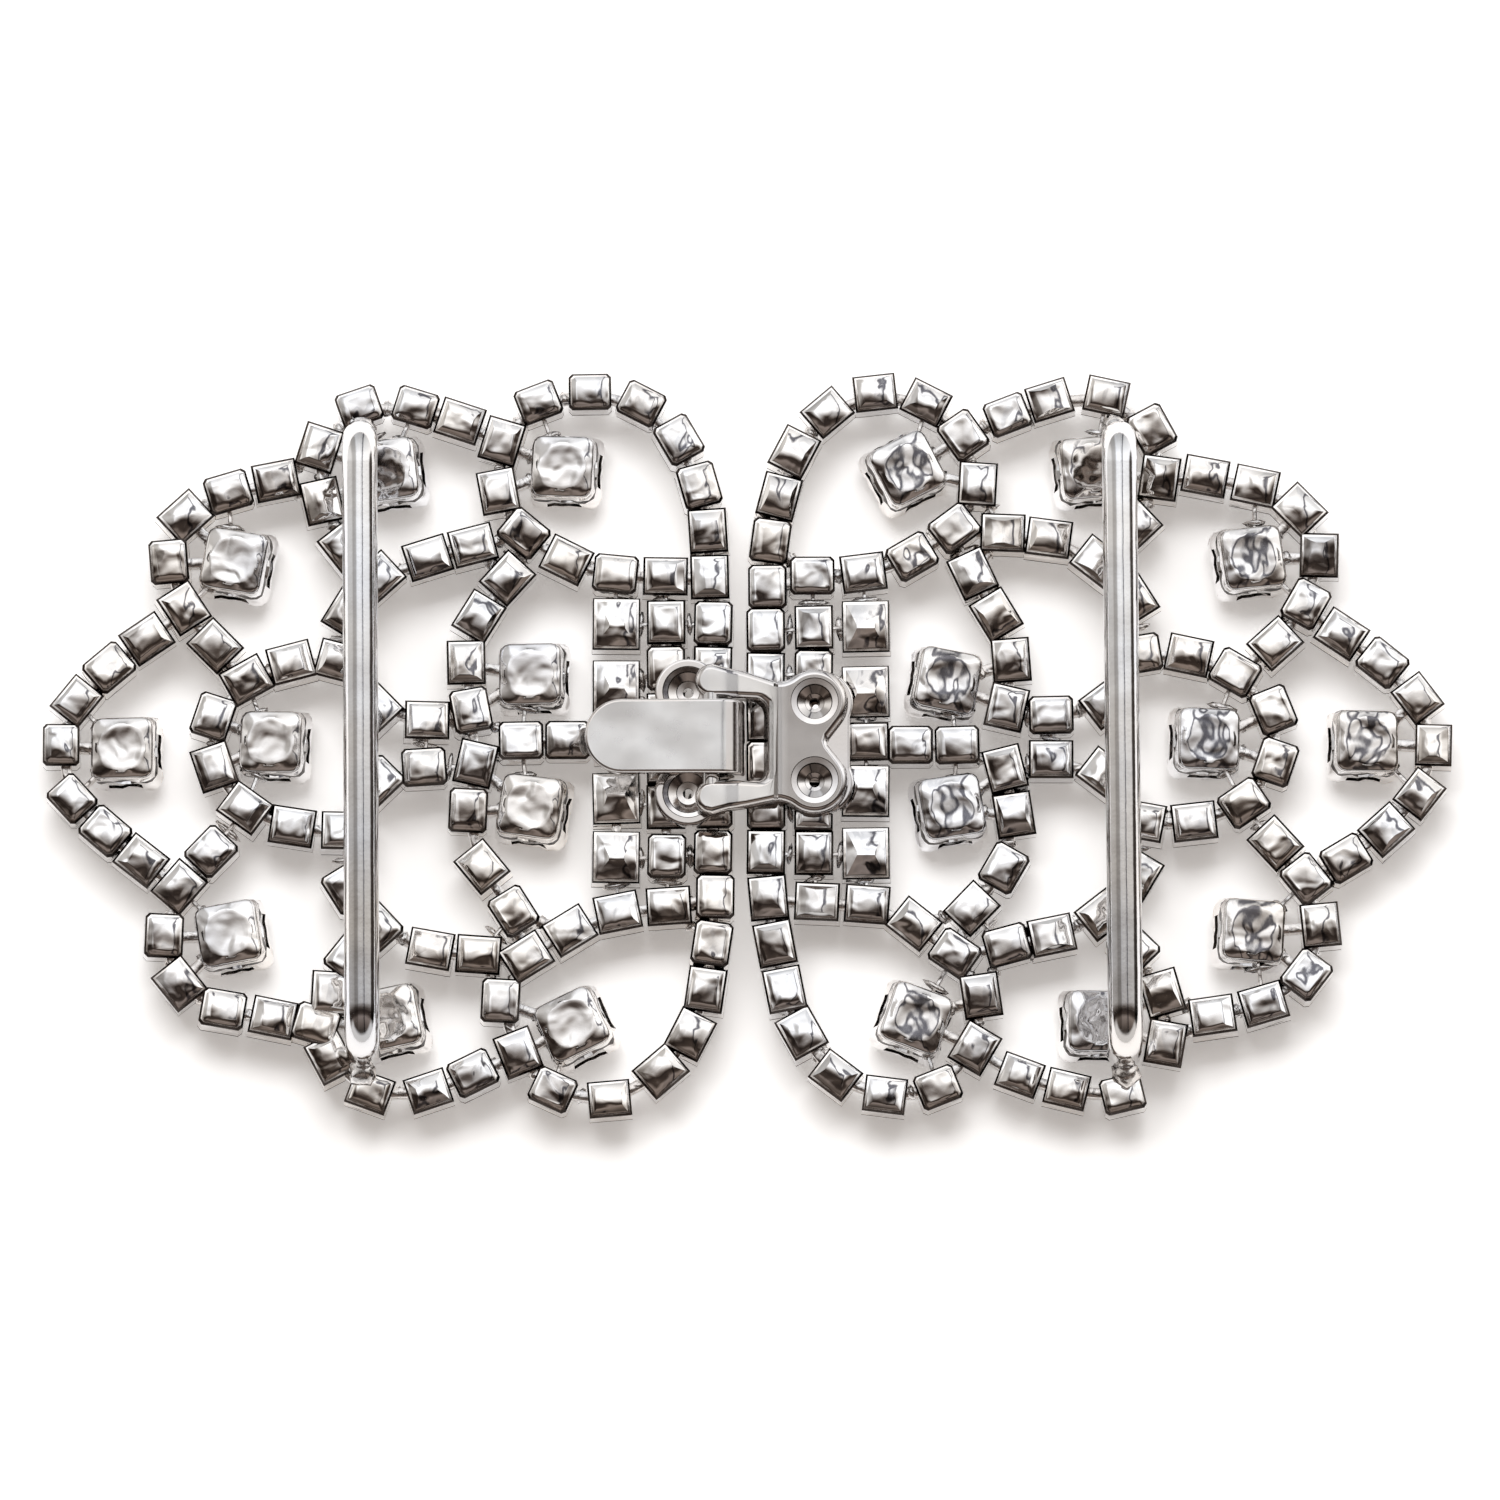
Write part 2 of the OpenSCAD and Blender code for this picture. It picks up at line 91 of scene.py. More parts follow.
# Charts
# Chains of cups, listed from the outer point inwards:
# x and y of the first cup, its heading, cup spacing, turn at each further cup
leftChains = [
    (-43.0, 0.0, 90, 2.95, [-38, -11, -7]),
    (-42.3, -3.4, -48, 2.93, [7, 3]),
    (-29.6, 16.8, 191, 3.09, [5, 28, 52, 26, 13]),
    (-31.4, 4.1, 30, 3.0, [-14, -30]),
    (-33.5, 1.8, -108, 3.21, [38, 34, 28, 8]),
    (-35.6, -9.0, 50, 3.0, [-3]),
    (-36.5, -12.1, -93, 3.17, [41, 44, -4]),
    (-26.9, 18.9, 73, 3.6, [-53]),
    (-20.9, 21.5, -18, 2.93, [1]),
    (-26.7, 15.5, -76, 3.27, [24]),
    (-25.1, 8.4, 57, 2.93, [-14]),
    (-20.1, 11.9, 18, 2.94, [-4]),
    (-15.5, 19.3, -108, 3.16, [28, 42, 12, 20, 6]),
    (-13.2, 21.8, 22, 3.3, [-21, -28, -34]),
    (-3.1, 16.5, -73, 2.94, [-14, -1]),
    (-15.1, 10.6, -132, 3.03, [11, 32, 10]),
    (-17.1, -1.2, -104, 3.0, [11]),
    (-16.7, -7.7, -52, 3.47, [-6]),
    (-25.1, -9.1, -58, 3.0, [12]),
    (-24.9, -13.4, 52, 3.0, []),
    (-26.1, -15.7, 88, 3.0, []),
    (-27.0, -17.7, -18, 3.0, []),
    (-19.9, -12.9, -10, 3.03, [5]),
    (-26.1, -19.8, -62, 3.27, [42]),
    (-20.0, -21.9, 18, 3.0, [8]),
    (-14.4, -19.5, 112, 3.0, []),
    (-15.5, -16.2, 88, 3.2, [-56, 0, -22, -6]),
    (-2.1, -9.6, -91, 2.97, [-6, -2, -19, -20]),
    (-8.7, -22.4, 186, 3.58, [-30]),
    (-20.1, 1.6, -2, 3.0, []),
    (-23.4, 2.5, -45, 3.0, []),
    (-20.3, -1.4, 5, 3.0, []),
    (-23.2, -2.3, 45, 3.0, []),
    (-14.25, 0.3, 0, 2.9, [0]),
]
rightChains = [
    (42.8, 0.0, 90, 3.13, [37, 14, 6]),
    (41.9, -3.1, 232, 3.09, [-10, -11]),
    (28.6, 17.1, -9, 3.17, [-4, -31, -48, -26, -20]),
    (30.4, 4.6, 150, 3.1, [18, 22]),
    (32.8, 2.2, -68, 3.29, [-40, -39, -25, -18]),
    (34.8, -8.5, 128, 2.97, [5]),
    (35.7, -11.4, -84, 3.27, [-44, -35, -9]),
    (22.4, 22.2, -13, 3.56, [-48]),
    (16.2, 21.0, 22, 2.8, [-4]),
    (25.7, 17.0, -98, 3.5, [-38]),
    (24.0, 9.3, 122, 3.2, [20]),
    (15.9, 13.5, -3, 2.9, [-6]),
    (13.4, 19.7, -54, 3.21, [-38, -50, -8, -23, -7]),
    (11.1, 21.8, 152, 3.25, [34, 33, 23]),
    (1.9, 15.8, 256, 2.9, [6, 8]),
    (14.0, 10.9, -64, 3.02, [6, -28, -18]),
    (16.0, -1.5, -76, 3.0, [-6]),
    (15.9, -7.8, -121, 3.24, [-14]),
    (22.1, -10.7, 38, 3.3, [22]),
    (24.0, -12.8, -45, 3.42, [-28]),
    (26.0, -18.9, -100, 3.0, []),
    (23.3, -22.1, 12, 3.0, []),
    (16.1, -12.7, 14, 2.9, [-2]),
    (16.9, -20.9, -20, 3.06, [6]),
    (14.1, -19.2, 59, 3.0, []),
    (14.5, -15.9, 98, 3.16, [48, -6, 35, 3]),
    (1.2, -9.7, -86, 2.93, [8, 0, 18]),
    (5.4, -20.9, -38, 3.33, [32, 28]),
    (18.9, 1.9, 0, 3.0, []),
    (22.4, 2.7, 38, 3.0, []),
    (18.9, -0.9, 0, 3.0, []),
    (22.2, -1.8, -38, 3.0, []),
    (10.1, 0.0, 0, 2.9, [0]),
]
# Straight columns of the grid: x, y of the top and bottom cup, number of cups, heading
leftColumns = [
    (-2.25, 7.75, -6.8, 6, 90),
    (-5.2, 7.8, -3.95, 5, 90),
    (-5.15, -7.05, -7.05, 1, 90),
    (-8.2, 0.2, 0.2, 1, 0),
]
rightColumns = [
    (1.05, 7.3, -6.8, 6, 90),
    (4.05, 7.5, -6.85, 6, 90),
    (7.35, 0.2, 0.2, 1, 0),
]
# Larger square cups, and claw settings: x, y, turn
leftSquares = [(-8.3, y, 90) for y in (7.7, 3.75, -3.35, -7.1)]
rightSquares = [(7.3, y, 90) for y in (7.55, 3.4, -2.9, -6.85)]
leftSeats = [
    (-39.25, -0.2, 0), (-32.3, 11.7, -11), (-32.55, -11.95, 9), (-29.95, 0.2, -2), (-22.8, 17.5, 7),
    (-22.6, -17.3, 11), (-13.75, 4.5, 0), (-13.75, -3.9, -9), (-11.75, 17.7, -3), (-11.1, -17.7, 25),
]
rightSeats = [
    (38.7, 0.25, 0), (31.6, 11.9, 8), (31.55, -11.75, -3), (28.8, 0.4, -1), (21.55, 17.65, 6),
    (21.9, -17.5, 0), (12.5, 4.1, -10), (12.75, -3.9, 10), (10.0, 17.6, 28), (10.5, -17.3, -19),
]


def chainCups(chains):
    # a chain walks from cup to cup: half of each turn comes before the step, half after it
    cups = []
    for x, y, heading, spacing, turns in chains:
        cups.append((x, y, heading))
        for turn in turns:
            way = math.radians(heading + turn / 2)
            x += spacing * math.cos(way)
            y += spacing * math.sin(way)
            heading += turn
            cups.append((x, y, heading))
    return cups


def columnCups(columns):
    cups = []
    for x, top, bottom, count, heading in columns:
        for i in range(count):
            share = i / (count - 1) if count > 1 else 0
            cups.append((x, top + (bottom - top) * share, heading))
    return cups


def chance(most):
    # a random amount to either side
    return random.uniform(-most, most)


def centred(spots):
    return [(x - clasp["middleX"], y - clasp["middleY"], turn) for x, y, turn in spots]


def charted(side, chains, columns, squares, seats, lean, barX, solder):
    # what a half is made of; barX is a strap bar's x at its top and bottom end
    return {
        "body": side + "_half",
        "node": side + "_frame",
        "cups": centred(chainCups(chains) + columnCups(columns)),
        "squares": centred(squares),
        "seats": centred(seats),
        "lean": lean,
        "barX": barX,
        "solder": solder,
    }


halves = {
    "left": charted("left", leftChains, leftColumns, leftSquares, leftSeats, -clasp["lean"],
                    (-24.2, -23.95), [(-24.1, 19.99), (-24.0, -20.81)]),
    "right": charted("right", rightChains, rightColumns, rightSquares, rightSeats, clasp["lean"],
                     (23.2, 23.5), [(23.0, 20.09), (23.6, -20.91)]),
}


# Finishes
class Value:
    # a socket of a material, ready for sums
    def __init__(self, finish, socket):
        self.finish, self.socket = finish, socket

    def __add__(self, other):
        return self.finish.maths("ADD", self, other)

    __radd__ = __add__

    def __mul__(self, other):
        return self.finish.maths("MULTIPLY", self, other)

    __rmul__ = __mul__


class Finish:
    # a material or world under construction
    def __init__(self, owner, coordinates="Object"):
        self.owner = owner
        owner.use_nodes = True
        self.tree = owner.node_tree
        self.tree.nodes.clear()
        self.place = self.node("ShaderNodeTexCoord", output=coordinates)

    def node(self, kind, settings=None, sockets=None, output=0):
        made = self.tree.nodes.new(kind)
        for key, setting in (settings or {}).items():
            if key == "stops":
                while len(made.color_ramp.elements) < len(setting):
                    made.color_ramp.elements.new(1.0)
                for element, (position, colour) in zip(made.color_ramp.elements, setting):
                    element.position = position
                    element.color = (*colour, 1)
            else:
                setattr(made, key, setting)
        for key, value in (sockets or {}).items():
            if isinstance(value, Value):
                self.tree.links.new(value.socket, made.inputs[key])
            else:
                made.inputs[key].default_value = value
        return Value(self, made.outputs[output]) if made.outputs else None

    def maths(self, operation, first, second):
        return self.node("ShaderNodeMath", {"operation": operation}, {0: first, 1: second})

    def noise(self, size, detail=2.0, roughness=0.5, distortion=0.0):
        # size is the width of one patch, in millimetres
        return self.node("ShaderNodeTexNoise", None, {
            "Vector": self.place, "Scale": 1 / (size * mm), "Detail": detail,
            "Roughness": roughness, "Distortion": distortion})

    def blend(self, share, first, second):
        # the second colour lies over the first
        first, second = [end if isinstance(end, Value) else (*end, 1) for end in (first, second)]
        return self.node("ShaderNodeMix", {"data_type": "RGBA"},
                         {"Factor": share, "A": first, "B": second}, "Result")

    def along(self, axis):
        return self.node("ShaderNodeSeparateXYZ", None, {"Vector": self.place}, axis)

    def spread(self, value, low, high, newLow, newHigh):
        return self.node("ShaderNodeMapRange", None, {
            "Value": value, "From Min": low, "From Max": high,
            "To Min": newLow, "To Max": newHigh})

    def bump(self, height, depth):
        # depth is how far a height of one stands up, in millimetres
        return self.node("ShaderNodeBump", None, {
            "Strength": 1.0, "Distance": depth * mm, "Height": height})

    def surface(self, sockets):
        shader = self.node("ShaderNodeBsdfPrincipled", None, sockets)
        self.node("ShaderNodeOutputMaterial", None, {"Surface": shader})
        return self.owner


def silverFinish(name, dent, skin, tint, warm, cool, gloss, crumple=1.0, twist=0.0):
    # plated metal: soft dents and a fine skin, both with width and depth, in uneven tint and gloss
    paint = Finish(bpy.data.materials.new(name))
    dents = paint.noise(dent[0], crumple, 0.5, twist)
    grain = paint.noise(skin[0], 2.0)
    tints = paint.noise(tint, 1.0)
    height = dents * dent[1] + grain * skin[1]
    return paint.surface({
        "Base Color": paint.blend(paint.spread(tints, 0.35, 0.65, 0, 1), warm, cool),
        "Metallic": 1.0,
        "Roughness": paint.spread(grain, 0.3, 0.7, *gloss),
        "Normal": paint.bump(height, 1.0),
    })


finishes = {
    "cup": silverFinish(
        "hammered_silver", dent=(1.3, 0.16), crumple=0.5, twist=0.4, skin=(0.35, 0.002), tint=6.0,
        warm=(0.90, 0.86, 0.82), cool=(0.87, 0.87, 0.885), gloss=(0.03, 0.09)),
    "seat": silverFinish(
        "polished_silver", dent=(1.5, 0.14), twist=0.3, skin=(0.4, 0.002), tint=9.0,
        warm=(0.90, 0.86, 0.82), cool=(0.87, 0.87, 0.89), gloss=(0.04, 0.1)),
    # a brighter copy of the silver for the bead ring: a painted highlight
    "bead": silverFinish(
        "bead_painted_highlight", dent=(0.8, 0.03), skin=(0.3, 0.002), tint=3.0,
        warm=(1.0, 0.95, 0.90), cool=(1.0, 0.98, 0.96), gloss=(0.12, 0.2)),
    "wire": silverFinish(
        "drawn_silver_wire", dent=(3.0, 0.05), skin=(0.3, 0.003), tint=8.0,
        warm=(0.82, 0.80, 0.78), cool=(0.78, 0.80, 0.84), gloss=(0.06, 0.13)),
    "satin": silverFinish(
        "satin_silver", dent=(3.5, 0.09), skin=(0.9, 0.0005), tint=3.0,
        warm=(0.76, 0.75, 0.745), cool=(0.86, 0.86, 0.86), gloss=(0.22, 0.28)),
    # a dark copy of the silver: painted shade on the fasteners' side walls and dish steps
    "crease": silverFinish(
        "painted_shade_walls", dent=(1.0, 0.05), skin=(0.2, 0.006), tint=2.0,
        warm=(0.16, 0.13, 0.11), cool=(0.22, 0.20, 0.19), gloss=(0.2, 0.35)),
    # a near-black copy of the silver: painted shade and dark reflection on the cups' walls and the settings'
    # walls
    "side": silverFinish(
        "painted_shade_dark_sides", dent=(1.0, 0.05), skin=(0.3, 0.004), tint=3.0,
        warm=(0.03, 0.022, 0.018), cool=(0.07, 0.06, 0.055), gloss=(0.12, 0.25)),
    # a dark copy of the silver: painted shade inside the settings
    "lining": silverFinish(
        "lining_painted_shade", dent=(1.0, 0.05), skin=(0.2, 0.006), tint=2.0,
        warm=(0.09, 0.075, 0.065), cool=(0.14, 0.125, 0.115), gloss=(0.25, 0.4)),
    "edge": silverFinish(
        "polished_edge", dent=(2.5, 0.012), skin=(0.3, 0.001), tint=7.0,
        warm=(0.80, 0.76, 0.73), cool=(0.80, 0.79, 0.80), gloss=(0.06, 0.14)),
    "solder": silverFinish(
        "solder", dent=(0.8, 0.12), twist=0.6, skin=(0.2, 0.01), tint=3.0,
        warm=(0.74, 0.70, 0.67), cool=(0.80, 0.79, 0.79), gloss=(0.12, 0.3)),
    "foil": silverFinish(
        "silver_foil", dent=(0.9, 0.01), skin=(0.2, 0.002), tint=2.0,
        warm=(0.86, 0.85, 0.84), cool=(0.86, 0.88, 0.92), gloss=(0.05, 0.1)),
}


def plateFinish():
    # painted shade darkens the flat plate, and a painted highlight brightens the arms where they rise
    paint = Finish(bpy.data.materials.new("satin_plate_painted_light"))
    armHighlight = paint.spread(paint.along("X"), 2.6 * mm, 1.2 * mm, 0, 1)
    skin, tint = paint.noise(0.9), paint.noise(4.0, 1.0)
    flatPlateShade = paint.blend(tint, (0.46, 0.43, 0.41), (0.53, 0.51, 0.495))
    return paint.surface({
        "Base Color": paint.blend(armHighlight, flatPlateShade, (0.90, 0.89, 0.88)),
        "Metallic": 1.0,
        "Roughness": paint.spread(skin, 0.3, 0.7, 0.2, 0.26),
        "Normal": paint.bump(paint.noise(3.0, 1.0) * 0.05 + skin * 0.0005, 1.0),
    })


def crystalFinish():
    paint = Finish(bpy.data.materials.new("crystal"))
    dust = paint.noise(0.8, 2.0)
    tint = paint.noise(5.0, 1.0)
    return paint.surface({
        "Base Color": paint.blend(tint, (0.96, 0.975, 1.0), (1.0, 0.99, 0.975)),
        "Roughness": paint.spread(dust, 0.45, 0.75, 0.0, 0.04),
        "IOR": 1.56,
        "Transmission Weight": 1.0,
    })


def floorFinish():
    paint = Finish(bpy.data.materials.new("white_table"))
    grain = paint.noise(1.2, 3.0)
    cloud = paint.noise(90.0, 1.0)
    return paint.surface({
        "Base Color": paint.blend(cloud, (0.93, 0.93, 0.935), (0.95, 0.945, 0.94)),
        "Roughness": paint.spread(grain, 0.3, 0.7, 0.55, 0.7),
        "Normal": paint.bump(grain, 0.01),
        "Emission Color": (1.0, 0.94, 0.89, 1),
        "Emission Strength": 0.31,
    })


finishes["crystal"] = crystalFinish()
finishes["floor"] = floorFinish()
finishes["plate"] = plateFinish()
print("finishes made")


# Modelling by hand
def only(*pieces):
    # selects these and nothing else
    bpy.ops.object.select_all(action="DESELECT")
    for piece in pieces:
        piece.select_set(True)
    bpy.context.view_layer.objects.active = pieces[0]


def added(primitive, **settings):
    # a new primitive, with its place and size in its mesh
    bpy.ops.object.select_all(action="DESELECT")
    primitive(**settings)
    bpy.ops.object.transform_apply(location=True, rotation=True, scale=True)
    return bpy.context.object


def startEditing(piece):
    only(piece)
    bpy.ops.object.mode_set(mode="EDIT")
    bpy.ops.mesh.select_all(action="DESELECT")


def stopEditing():
    bpy.ops.object.mode_set(mode="OBJECT")


def pick(kind, test):
    # selects the faces, edges or corners that pass a test of place or direction
    bpy.ops.mesh.select_mode(type=kind)
    bpy.ops.mesh.select_all(action="DESELECT")
    mesh = bmesh.from_edit_mesh(bpy.context.edit_object.data)
    parts = {"FACE": mesh.faces, "EDGE": mesh.edges, "VERT": mesh.verts}[kind]
    for part in parts:
        if test(part):
            part.select_set(True)
    bmesh.update_edit_mesh(bpy.context.edit_object.data)


def anywhere(part):
    return True


def pickAll():
    bpy.ops.mesh.select_all(action="SELECT")


def pickRim():
    # the open edge
    pick("EDGE", lambda edge: edge.is_boundary)


def middle(part):
    # middle of an edge or face
    return sum((corner.co for corner in part.verts), part.verts[0].co * 0) / len(part.verts)


def move(x, y, z):
    bpy.ops.transform.translate(value=(x, y, z))


def extrude(x, y, z):
    bpy.ops.mesh.extrude_region_move(TRANSFORM_OT_translate={"value": (x, y, z)})


def widen(x, y, centre=(0, 0, 0)):
    bpy.ops.transform.resize(value=(x, y, 1), center_override=centre)


def cutOut(test):
    # takes faces away
    pick("FACE", test)
    bpy.ops.mesh.delete(type="FACE")


def bevelPicked(width, segments, **settings):
    bpy.ops.mesh.bevel(offset=width, segments=segments, affect="EDGES", **settings)


def offAxis(place):
    # how far a place is from the nearer of the two axes
    return min(abs(place.x), abs(place.y))


def tip(axis, degrees, centre):
    # turns what is picked
    bpy.ops.transform.rotate(value=math.radians(degrees), orient_axis=axis, center_override=centre)


def sweep(degrees, steps, centre, axis):
    # extrudes what is picked round an axis
    bpy.ops.mesh.spin(steps=steps, angle=math.radians(degrees), center=centre, axis=axis)


def stackRings(rings, pull=bpy.ops.mesh.extrude_region_move):
    # extrudes what is picked from ring to ring: height, half length, and half width where it differs
    for (z0, *size0), (z1, *size1) in zip(rings, rings[1:]):
        pull(TRANSFORM_OT_translate={"value": (0, 0, z1 - z0)})
        widen(size1[0] / size0[0], size1[-1] / size0[-1])


def stackEdges(rings):
    stackRings(rings, bpy.ops.mesh.extrude_edges_move)


def setFinish(piece, *names):
    piece.data.materials.clear()
    for name in names:
        piece.data.materials.append(finishes[name])


def paintFaces(piece, slot, test):
    # gives the faces that pass a test another of the piece's finishes
    startEditing(piece)
    pick("FACE", test)
    piece.active_material_index = slot
    bpy.ops.object.material_slot_assign()
    stopEditing()


def addModifier(piece, kind, **settings):
    only(piece)
    modifier = piece.modifiers.new(kind.lower(), kind)
    for key, value in settings.items():
        setattr(modifier, key, value)
    bpy.ops.object.modifier_apply(modifier=modifier.name)


def copyTo(model, place):
    copy = model.copy()
    copy.data = model.data.copy()
    bpy.context.scene.collection.objects.link(copy)
    copy.matrix_world = place
    return copy


def gather(parts, name):
    # joins the parts into one piece with its place in its mesh
    only(*parts)
    if len(parts) > 1:
        bpy.ops.object.join()
    piece = bpy.context.view_layer.objects.active
    bpy.ops.object.transform_apply(location=True, rotation=True, scale=True)
    piece.name = piece.data.name = name
    return piece


def smooth(piece, degrees):
    only(piece)
    bpy.ops.object.shade_smooth_by_angle(angle=math.radians(degrees))


def outwards(piece):
    startEditing(piece)
    pickAll()
    bpy.ops.mesh.remove_doubles(threshold=0.0005)
    bpy.ops.mesh.normals_make_consistent(inside=False)
    stopEditing()


def discard(*models):
    for model in models:
        bpy.data.objects.remove(model)


def keep(piece, half, nodes):
    # brings a finished piece to metres and says what carries it and what it stands for
    only(piece)
    piece.scale = (mm, mm, mm)
    bpy.ops.object.transform_apply(location=False, rotation=False, scale=True)
    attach(piece, half["body"])
    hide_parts(*nodes)


def keepMetal(parts, name, half, degrees):
    # edges flatter than this many degrees look smooth
    piece = gather(parts, name)
    smooth(piece, degrees)
    keep(piece, half, [half["node"]])


def spot(x, y, z, turn, tiltX=0.0, tiltY=0.0):
    return (Matrix.Translation((x, y, z)) @ Matrix.Rotation(math.radians(tiltX), 4, "X")
            @ Matrix.Rotation(math.radians(tiltY), 4, "Y")
            @ Matrix.Rotation(math.radians(turn), 4, "Z"))


def apart(a, b):
    return math.hypot(a[0] - b[0], a[1] - b[1])


# Chain cups
chainCup = {
    "halfLength": 1.4,
    "halfWidth": 1.21,
    "corner": 0.23,
    "edge": 0.13,  # width of the rounded edge round the back
    "bead": 0.23,  # how far in the bead inside it reaches; the bead is painted bright as a highlight
    "step": 0.29,  # and the low step from the bead to the middle
    "waist": -0.42,  # the wall is painted dark down to here, as shade and dark reflection
    "flare": -1.86,  # and painted dark again from here to the front rim
    "rim": -2.02,
    "flareOut": 0.03,
    "height": 2.3,
    "wall": 0.1,
    "softEdge": 0.2,  # height of the rounded edge
    "beadZ": -0.06,  # the bead's outer and inner side, against the step's height
    "beadInnerZ": -0.04,
    "dents": 0.035,  # how far the back's corners stray by chance
    "hollow": 0.75,  # depth of the hollow behind the stone
    "clawWidth": 0.4,
    "clawBend": 0.84,
    "tilt": 3.0,  # how far a cup may lean and turn by chance, in degrees
    "turn": 1.5,
}
# cups this far out lean less and are this much smaller, to stay within the clasp's size
outermost = {"x": 41.0, "y": 20.9, "tilt": 0.3, "size": 0.95}
# backs: half length and half width of the top, its rise, its shift and the swell of its sides
chainRoofs = [
    (0.80, 0.55, 0.10, 0.00, 0.05, 0.65),
    (0.65, 0.50, 0.14, 0.08, 0.05, 0.62),
    (0.70, 0.35, 0.15, -0.10, 0.10, 0.60),
    (0.82, 0.65, 0.09, 0.05, -0.04, 0.60),
    (0.25, 0.70, 0.15, -0.15, 0.00, 0.55),
    (0.90, 0.72, 0.06, 0.00, 0.00, 0.60),
    (0.25, 0.25, 0.20, 0.05, 0.05, 0.50),
    (0.35, 0.62, 0.14, 0.22, 0.05, 0.60),
    (0.65, 0.25, 0.18, 0.10, -0.06, 0.45),
]
squareCup = {
    **chainCup,
    "halfLength": 1.64,
    "halfWidth": 1.48,
    "corner": 0.2,
    "edge": 0.09,
    "step": 0.3,
    "waist": -0.58,
    "flareOut": 0.05,
    "tilt": 1.0,
}
squareRoofs = [(0.10, 0.55, 0.34, 0.08, 0.00, 0.38), (0.12, 0.48, 0.30, 0.15, 0.03, 0.38)]


def isOuter(face, cup):
    # whether a face is part of the outer wall
    place = middle(face)
    return abs(place.x) > cup["halfLength"] - 0.05 or abs(place.y) > cup["halfWidth"] - 0.05 or (
        abs(place.x) > cup["halfLength"] - cup["corner"] and abs(place.y) > cup["halfWidth"] - cup["corner"])


def makeCup(cup, roof, seed):
    # the back is the top here, at height 0, and the claws point down
    x, y, edge, bead, step = [cup[size] for size in ("halfLength", "halfWidth", "edge", "bead", "step")]
    topX, topY, rise, shiftX, shiftY, swell = roof
    shoulder = -rise - cup["softEdge"]
    model = added(bpy.ops.mesh.primitive_cube_add, size=1, location=(0, 0, (shoulder + cup["waist"]) / 2),
                  scale=(2 * x, 2 * y, shoulder - cup["waist"]))
    startEditing(model)
    pick("EDGE", lambda side: abs(side.verts[0].co.z - side.verts[1].co.z) > 0.1)
    bevelPicked(cup["corner"], 1)
    # back: a rounded edge, a bead and a step inside it, then the swelling middle
    pick("FACE", lambda face: face.normal.z > 0.9)
    midX, midY = (x - step + topX) / 2, (y - step + topY) / 2
    stackRings([
        (shoulder, x, y),
        (cup["beadZ"] - rise, x - edge, y - edge),
        (cup["beadInnerZ"] - rise, x - bead, y - bead),
        (-rise, x - step, y - step),
        (rise * (swell - 1), midX, midY),
        (0, topX, topY),
    ])
    move(shiftX, shiftY, 0)
    pick("VERT", lambda corner: corner.co.z > -rise + 0.01)
    bpy.ops.transform.vertex_random(offset=cup["dents"], uniform=0.3, normal=0.0, seed=seed)
    # front: flared rim, then the hollow behind the stone
    pick("FACE", lambda face: face.normal.z < -0.9)
    out, wall = cup["flareOut"], cup["wall"]
    stackRings([
        (cup["waist"], x, y),
        (cup["flare"], x + out / 2, y + out / 2),
        (cup["rim"], x + out, y + out),
        (cup["rim"], x - wall, y - wall),
        (cup["rim"] + cup["hollow"], x - 2 * wall, y - 2 * wall),
    ])
    # claws: the rim's corners drawn out and bent in over the stone
    pick("FACE", lambda face: face.normal.z < -0.9 and middle(face).z < cup["rim"] + 0.05
         and abs(middle(face).x) > x - cup["clawWidth"] and abs(middle(face).y) > y - cup["clawWidth"])
    stackRings([(cup["rim"], 1), (0.02 - cup["height"], cup["clawBend"])])
    stopEditing()
    outwards(model)
    setFinish(model, "cup", "side", "bead")
    # the upper wall with the rounded edge, and a band above the front rim, are painted dark as shade and
    # dark reflection
    paintFaces(model, 1, lambda face: cup["waist"] < middle(face).z < cup["beadZ"] - rise)
    paintFaces(model, 1, lambda face: cup["rim"] < middle(face).z < cup["flare"] and isOuter(face, cup))
    # the bead ring is painted bright as a highlight
    paintFaces(model, 2, lambda face: cup["beadZ"] < middle(face).z + rise < cup["beadInnerZ"])
    return model


def placeCups(models, spots, cup, half, name):
    copies = []
    for x, y, turn in spots:
        inside = abs(x) < outermost["x"] and abs(y) < outermost["y"]
        tilt, size = (cup["tilt"], 1.0) if inside else (outermost["tilt"], outermost["size"])
        turn += chance(cup["turn"]) + 180 * random.randint(0, 1)
        place = spot(x, y, clasp["backZ"], turn, chance(tilt), chance(tilt))
        copies.append(copyTo(random.choice(models), place @ Matrix.Diagonal((size, size, 1, 1))))
    keepMetal(copies, name, half, 24)


random.seed(11)
cupModels = [makeCup(chainCup, roof, seed) for seed, roof in enumerate(chainRoofs)]
squareModels = [makeCup(squareCup, roof, seed + 40) for seed, roof in enumerate(squareRoofs)]
for side, half in halves.items():
    placeCups(cupModels, half["cups"], chainCup, half, side + "_chain_cups")
    placeCups(squareModels, half["squares"], squareCup, half, side + "_square_cups")
discard(*cupModels, *squareModels)
print("cups made")


# Link bars and solder
linkBar = {
    "width": 0.66,
    "top": -0.75,  # below the cups' backs
    "bottom": -1.6,
    "edge": 0.16,
    "sideWidth": 0.45,  # share of the width where a bar joins two chains side by side
    "lump": (0.36, 0.5, 0.3),
    "seam": (0.26, 0.9, 0.3),  # lump that runs along the gap between two chains
    "lumpDepth": -1.0,
    "lumpShare": 0.3,  # share of the joints in a chain that show a lump
    "lumpSizes": (0.75, 1.15),
    "lumpTurn": 12,  # how far a lump is turned by chance, in degrees
    "lumpAngle": 18,  # a joint across the chain by more than this always has a lump
    "sideAngle": 45,
    "seamAngle": 60,
    "foot": (0.95, 0.95, 0.8),
}


